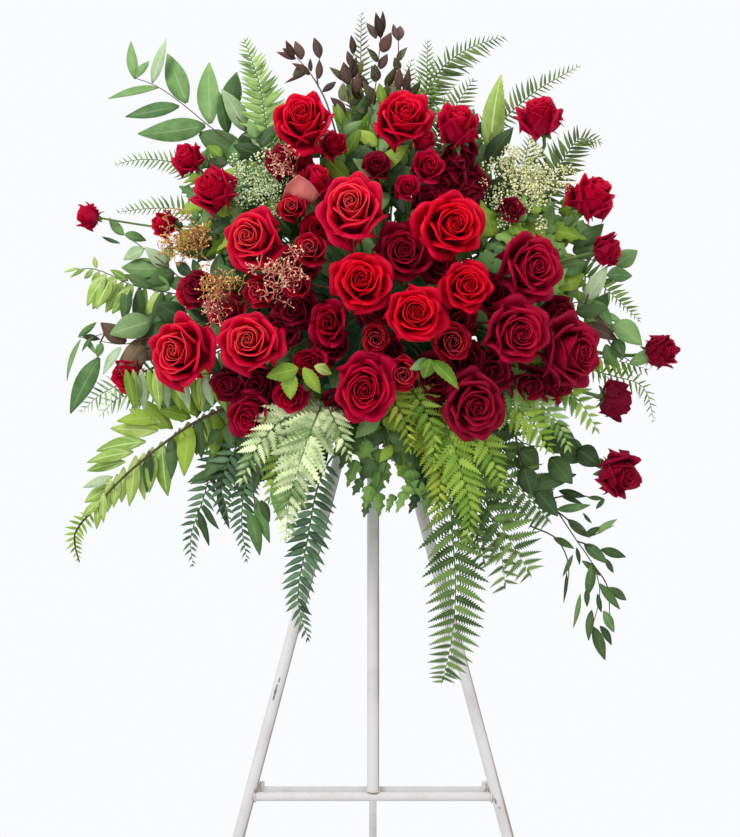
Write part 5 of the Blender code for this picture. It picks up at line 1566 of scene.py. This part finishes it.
# Piece, seat, route, leaf, count, length, greens, seed, bare share, splay and width.
SPRIGS = (
    ("top_middle_leaves", ("top", -5, 1), ((10, 150, 190), (4, 140, 262)),
     R, 14, 52, (D, G, L), 31, 0.35, 38, 1.2),
    ("top_middle_leaves_right", ("top", 15, 1), ((40, 140, 190), (60, 130, 262)),
     R, 12, 50, (D, G, D), 41, 0.35, 42, 1.2),
    ("top_left_inner_leaves", ("top", -45, 1), ((-130, 140, 190), (-165, 130, 250)),
     B, 12, 55, (D, D, G), 32, 0.40, 50, 0.9),
    ("left_inner_leaves", ("left", 55, 1), ((-180, 150, 120), (-250, 130, 170)),
     I, 13, 52, (G, D, L), 42, 0.35, 55, 0.8),
    ("left_middle_leaves", ("left", 10, 1), ((-190, 170, 40), (-255, 150, 60)),
     B, 12, 50, (G, D, D), 43, 0.35, 55, 0.9),
    ("low_left_inner_leaves", ("left", -50, 1), ((-150, 170, -100), (-215, 150, -160)),
     B, 13, 52, (D, G, D), 44, 0.35, 55, 0.9),
    ("low_middle_leaves", ("bottom", -30, 1), ((-50, 180, -130), (-110, 170, -170)),
     B, 12, 50, (D, G, D), 45, 0.35, 55, 0.9),
    ("low_right_inner_leaves", ("bottom", 60, 0), ((110, 150, -150), (170, 150, -200)),
     B, 12, 52, (D, D, G), 46, 0.35, 55, 0.9),
    ("upper_right_inner_leaves", ("right", 70, 1), ((180, 150, 120), (235, 140, 150)),
     I, 13, 50, (V, G, L), 47, 0.35, 55, 0.8),
    ("right_inner_leaves", ("right", -20, 1), ((200, 160, -20), (265, 150, -50)),
     B, 12, 50, (D, G, D), 48, 0.35, 55, 0.9),
    ("top_left_middle_leaves", ("top", -30, 1), ((-35, 140, 190), (-44, 130, 268)),
     R, 12, 50, (D, G, L), 63, 0.35, 42, 1.2),
    ("top_gap_leaves", ("top", -50, 0), ((-66, 120, 170), (-80, 115, 255)),
     R, 12, 48, (D, G, D), 66, 0.30, 42, 1.3),
    ("left_gap_leaves", ("left", 100, 0), ((-200, 90, 160), (-258, 80, 222)),
     I, 12, 48, (L, G, V), 64, 0.35, 50, 0.8),
    ("right_back_leaves", ("right", -12, 0), ((230, 90, 10), (330, 80, 0)),
     B, 15, 52, (G, D, G), 65, 0.30, 58, 0.9),
    ("top_back_leaves", ("top", -12, 0), ((-20, 95, 240), (-30, 90, 300)),
     R, 16, 56, (G, D, L), 51, 0.35, 34, 1.3),
    ("top_back_leaves_right", ("top", 10, 1), ((18, 120, 230), (14, 110, 300)),
     R, 16, 52, (L, G, D), 52, 0.35, 34, 1.3),
    ("top_right_leaves", ("top", 50, 0), ((110, 110, 200), (135, 100, 270)),
     B, 14, 52, (D, G, D), 53, 0.35, 45, 0.8),
    ("upper_left_leaves", ("top", -70, 1), ((-160, 120, 180), (-215, 100, 225)),
     B, 15, 52, (G, D, L), 54, 0.30, 50, 0.9),
    ("left_upper_leaves", ("left", 70, 1), ((-200, 130, 110), (-285, 105, 125)),
     I, 16, 48, (G, L, D), 55, 0.30, 58, 0.8),
    ("left_lower_leaves", ("left", 0, 1), ((-200, 130, -5), (-300, 105, -5)),
     B, 16, 50, (D, G, D), 56, 0.30, 58, 0.9),
    ("left_low_leaves", ("left", -56, 0), ((-190, 140, -85), (-290, 110, -105)),
     R, 16, 54, (G, L, D), 57, 0.30, 55, 1.3),
    ("right_upper_leaves", ("right", 52, 1), ((220, 120, 95), (290, 100, 155)),
     I, 18, 56, (L, V, G), 58, 0.30, 55, 0.8),
    ("right_middle_leaves", ("right", 10, 1), ((230, 120, 30), (310, 100, 45)),
     I, 16, 50, (V, L, G), 59, 0.30, 55, 0.8),
    ("low_centre_leaves", ("bottom", 4, 1), ((10, 185, -140), (30, 180, -190)),
     T, 12, 42, (G, L, D), 60, 0.35, 60, 0.9),
    ("low_right_leaves", ("bottom", 80, 1), ((140, 160, -150), (200, 145, -200)),
     B, 14, 48, (D, D, G), 62, 0.35, 58, 0.9),
)
for name, seat, route, kind, count, length, greens, seed, bare_share, splay, width in SPRIGS:
    made = sprig(
        name, route_from(seat, *route, count=14), kind, count, length / 1000, greens, seed,
        bare_share, splay, width,
    )
    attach(made, "front_frame")

# The cushion of leaves that hides the foam: rings of leaves that look forward and outward, each on
# its own stalk. The back ring stays clear of the tray, and of the rear leg where that folds.
LEG_GAP = 0.075
for name, leaves, reach, inner, depth, kind, greens, seed in (
    ("back_leaf_collar", 90, (0.30, 0.25), 0.40, 0.065, B, (D, G, D), 71),
    ("middle_leaf_collar", 80, (0.25, 0.21), 0.12, 0.110, I, (G, V, D), 72),
    ("front_leaf_collar", 64, (0.22, 0.16), 0.12, 0.170, T, (G, D, G), 73),
):
    luck = random.Random(seed)
    made = []
    for i in range(leaves):
        bearing = i * GOLDEN_TURN
        far = math.sqrt(luck.uniform(inner, 1.0))
        x, z = math.cos(bearing) * reach[0] * far, math.sin(bearing) * reach[1] * far + 0.02
        if name == "back_leaf_collar" and z < 0 and abs(x) < LEG_GAP:
            continue
        foot = spot(860 * x, 1000 * depth - 20 - 50 * far, 860 * z)
        heading = Vector((x * 3.2, -0.35, z * 3.2)) + stray(luck, 0.4)
        looks = Vector((luck.uniform(-0.4, 0.4), -1, luck.uniform(-0.2, 0.6)))
        outward = Vector((x, -0.5 * depth, z)).normalized()
        stalk = smooth_path(spot(300 * x, 75, 300 * z), outward, foot, heading.normalized(), 4)
        made.append(stem_along(f"{name}_stalk_{i}", stalk, (0.0017, 0.0012), STEM_GREEN, 0))
        made.append(leaf_at(
            f"{name}_{i}", kind, foot, heading, looks, luck.uniform(0.045, 0.075),
            greens[luck.randrange(3)], None, luck.uniform(0.1, 0.9), 1.0, luck.uniform(-0.1, 0.1),
            luck.uniform(-0.4, 0.4),
        ))
    collar = joined(made, name)
    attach(collar, "front_frame")

# Young rose leaves that lie over the lower flowers, in two groups.
young = placed_sprig(
    "young_rose_leaves", 262, ("front", -100, -80), (
        ((-85, 205, -80), (-95, 240, -70), (-105, 262, -72)),
        ((60, 200, -70), (72, 240, -60), (78, 262, -58)),
    ), (
        (T, L, -102, -70, -145, -80, 26), (T, L, -112, -74, -117, -112, 25), (T, L, -95, -69, -70, -104, 20),
        (T, C, -80, -67, -54, -77, 17), (T, L, 77, -57, 70, -86, 22), (T, L, 79, -60, 118, -92, 22),
        (T, G, 74, -58, 52, -72, 16),
    ), 61,
)
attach(young, "front_frame")

# ----------------------------------------
# Dark sprigs and fillers
# Burgundy leaf sprigs stand at the top. Cream umbels, golden florets and pink-tipped florets fill
# between the roses: many fine stalks from one stem, each with a cluster of tiny flowers.
# ----------------------------------------
BURGUNDY = leaf_material(
    "burgundy_leaf", (0.018, 0.009, 0.008), (0.105, 0.052, 0.040), (0.18, 0.10, 0.08), 4.0, 0.4, 0.42
)
OLIVE = leaf_material(
    "olive_leaf", (0.030, 0.035, 0.015), (0.13, 0.14, 0.06), (0.2, 0.2, 0.1), 4.0, 0.3, 0.42
)
U, O = BURGUNDY, OLIVE
burgundy = placed_sprig(
    "burgundy_sprigs", 105, ("top", 5, 1), (
        ((-10, 130, 240), (4, 110, 330), (11, 105, 396)),
        ((-50, 125, 250), (-72, 110, 315), (-90, 105, 345), (-108, 105, 366)),
        ((-78, 108, 325), (-80, 105, 345), (-76, 105, 366)),
        ((-25, 125, 250), (-34, 110, 320), (-28, 105, 374)),
        ((15, 125, 250), (34, 110, 320), (36, 105, 393)),
        ((20, 120, 280), (42, 110, 312), (50, 105, 335)),
    ), (
        (R, U, -102, 364, -108, 392, 15), (R, U, -113, 366, -122, 387, 11), (R, U, -110, 365, -134, 372, 9),
        (R, U, -115, 368, -126, 380, 11), (R, U, -76, 365, -81, 396, 14), (R, U, -88, 347, -91, 366, 7),
        (R, U, -90, 343, -110, 357, 11), (R, U, -77, 336, -76, 363, 11), (R, O, -100, 350, -112, 340, 13),
        (R, U, -92, 346, -125, 330, 6), (R, U, -72, 318, -50, 334, 10), (R, U, 11, 395, 6, 427, 13),
        (R, U, 13, 400, 15, 430, 9), (R, U, 4, 392, -7, 419, 13), (R, U, 36, 390, 38, 414, 16),
        (R, U, 34, 392, 27, 416, 9), (R, U, 12, 374, 24, 397, 18), (R, U, -31, 352, -36, 377, 12),
        (R, U, -28, 372, -31, 397, 11), (R, U, -36, 328, -43, 359, 17), (R, U, -30, 336, -28, 366, 13),
        (R, O, -24, 338, -15, 361, 12), (R, O, -38, 334, -58, 350, 11), (R, O, 3, 332, 5, 354, 16),
        (R, U, 36, 320, 36, 349, 14), (R, O, 36, 348, 32, 365, 12), (R, U, 43, 318, 55, 351, 12),
        (R, O, 50, 312, 68, 330, 12), (R, U, -22, 308, -30, 334, 12), (R, O, -36, 304, -52, 322, 12),
        (R, U, 0, 308, -6, 330, 12), (R, O, 14, 304, 21, 326, 13), (R, U, -10, 320, -16, 344, 12),
        (R, O, 26, 312, 30, 336, 13), (R, U, 10, 350, 18, 372, 13), (R, O, 6, 360, -6, 380, 11),
        (R, O, 34, 362, 46, 380, 11), (R, O, -30, 300, -12, 318, 13), (R, O, 2, 300, -12, 330, 14),
        (R, U, 12, 290, 24, 320, 15), (R, O, -14, 286, -26, 314, 14), (R, O, 24, 296, 40, 318, 14),
        (R, U, -40, 290, -58, 312, 13), (R, O, 4, 282, 8, 312, 15), (R, U, -6, 300, 4, 326, 12),
        (R, O, 34, 300, 54, 324, 12), (R, U, -24, 316, -20, 342, 13), (R, O, 18, 326, 30, 350, 13),
        (R, U, 8, 336, -4, 356, 12), (R, O, -44, 306, -40, 334, 13),
    ), 91, back=BURGUNDY,
)
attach(burgundy, "front_frame")
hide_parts("dark_sprigs")

CREAM, PALE_GREEN, GOLDEN, PINK_TIPPED, PINK_STALK = (leaf_material(*row) for row in (
    ("cream_floret", (0.48, 0.52, 0.22), (0.88, 0.89, 0.60), (0.9, 0.9, 0.7), 3.0, 0.1, 0.6),
    ("pale_green_floret", (0.30, 0.42, 0.17), (0.74, 0.82, 0.54), (0.8, 0.85, 0.6), 3.0, 0.1, 0.6),
    ("golden_floret", (0.36, 0.13, 0.03), (0.74, 0.46, 0.16), (0.8, 0.6, 0.3), 3.0, 0.1, 0.6),
    ("pink_floret", (0.50, 0.04, 0.05), (0.88, 0.62, 0.40), (0.9, 0.7, 0.5), 3.0, 0.1, 0.6),
    ("pink_stalk", (0.24, 0.02, 0.03), (0.55, 0.14, 0.10), (0.5, 0.2, 0.15), 1.0, 0.1, 0.5),
))
bpy.ops.mesh.primitive_ico_sphere_add(subdivisions=1, radius=1.0)
floret = bpy.context.object
floret.name = "floret"
bpy.ops.object.mode_set(mode="EDIT")
bpy.ops.mesh.select_all(action="SELECT")
bpy.ops.transform.vertex_random(offset=0.25, seed=4)
bpy.ops.object.mode_set(mode="OBJECT")
mark(floret, "ring", 0.5)


def tuft(name, count, seed):
    """Tiny flowers in a rounded tuft about one unit wide that stands on its foot."""
    luck = random.Random(seed)
    made = []
    for k in range(count):
        bearing, out = k * GOLDEN_TURN, math.sqrt((k + 0.5) / count) * 0.5
        place = Vector((math.cos(bearing) * out, math.sin(bearing) * out, 0.35 - 0.9 * out * out))
        place += stray(luck, 0.06)
        one = copy_of(floret, Matrix.Translation(place) @ Matrix.Rotation(k, 4, "X")
                      @ Matrix.Scale(luck.uniform(0.055, 0.105), 4), f"{name}_{k}")
        mark(one, "tone", luck.random())
        made.append(one)
    return joined(made, name)


def wisp(name, seed):
    """Curled threads about one unit long, from one foot, with tiny flowers towards their ends."""
    luck = random.Random(seed)
    made = []
    for k in range(5):
        heading = Vector((math.cos(k * GOLDEN_TURN), math.sin(k * GOLDEN_TURN), luck.uniform(0.2, 1.2)))
        places = [Vector((0, 0, -0.3))]
        for _ in range(5):
            heading = (heading + stray(luck, 0.8)).normalized()
            places.append(places[-1] + heading * 0.19)
        made.append(stem_along(f"{name}_{k}", places, (0.022, 0.030, 0.022), RED, 0))
        for place in places[4:]:
            one = copy_of(floret, Matrix.Translation(place) @ Matrix.Rotation(k, 4, "X")
                          @ Matrix.Diagonal((*([luck.uniform(0.05, 0.10)] * 2), 0.06, 1)), name)
            mark(one, "tone", luck.random())
            made.append(one)
    return joined(made, name)


TUFTS = [tuft(f"tuft_{number}", 13, number) for number in (1, 2, 3)]
WISPS = [wisp(f"wisp_{number}", number) for number in (4, 5, 6)]


def umbel(name, seat, middle, spread, stalks, size, colour, stalk_colour, seed, tops=TUFTS):
    """Fine stalks that fan out of one stem and carry tufts or wisps of tiny flowers."""
    luck = random.Random(seed)
    spread = [width / 1000 for width in spread]
    entry, out = seat_in_foam(seat)
    centre = spot(*middle)
    way = (centre - entry).normalized()
    hub = centre - way * max(spread) * 1.1
    made = [stem_along(name + "_stem", smooth_path(entry, out, hub, way, 10), (0.0014, 0.0012),
                       stalk_colour, 1)]
    for i in range(stalks):
        aim = Vector((luck.gauss(0, 0.5) * spread[0], luck.gauss(-0.2, 0.3) * spread[1],
                      luck.gauss(0, 0.5) * spread[2]))
        end = centre + aim
        line = smooth_path(hub, way, end, way, 3)
        made.append(stem_along(f"{name}_stalk_{i}", line, (0.0005, 0.0003), stalk_colour, 0))
        turn = turn_to((way + aim * 12 + Vector((0, -0.6, 0.3))).normalized())
        one = copy_of(
            tops[i % 3], Matrix.Translation(end) @ turn @ Matrix.Rotation(luck.uniform(0, 6.3), 4, "Z")
            @ Matrix.Scale(size / 1000 * luck.uniform(0.7, 1.3), 4), f"{name}_{i}",
        )
        made.append(coat(one, colour))
    return joined(made, name)


# Piece, node, seat, middle, spread (x, y, z), stalks, width of a top, colours, seed and tops.
FILLERS = (
    ("cream_umbels", "cream_filler", ("top", 56, 0), (207, 140, 182),
     (52, 26, 44), 104, 18.5, CREAM, STEM_GREEN, 101, TUFTS),
    ("pale_umbels_left", None, ("top", -50, 0), (-162, 165, 182),
     (40, 18, 32), 60, 17.5, PALE_GREEN, STEM_GREEN, 102, TUFTS),
    ("golden_florets", None, ("left", 45, 0), (-258, 155, 108),
     (38, 18, 30), 34, 19, GOLDEN, BARK, 103, WISPS),
    ("golden_florets_inner", None, ("front", -180, 40), (-210, 215, 46),
     (28, 16, 18), 20, 18, GOLDEN, BARK, 104, WISPS),
    ("pink_florets", None, ("front", -110, 50), (-124, 250, 55),
     (36, 16, 38), 24, 16, PINK_TIPPED, PINK_STALK, 105, WISPS),
    ("pink_florets_left", None, ("front", -190, 20), (-216, 210, 20),
     (24, 16, 32), 20, 16, PINK_TIPPED, PINK_STALK, 106, WISPS),
    ("pink_florets_top", None, ("front", -90, 180), (-118, 200, 212),
     (24, 12, 16), 14, 15, PINK_TIPPED, PINK_STALK, 107, WISPS),
)
for name, node, *how in FILLERS:
    made = umbel(name, *how)
    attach(made, "front_frame")
    if node:
        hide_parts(node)

for thing in (*FERN_BLADES.values(), *LEAVES.values(), *TUFTS, *WISPS, floret):
    bpy.data.objects.remove(thing)
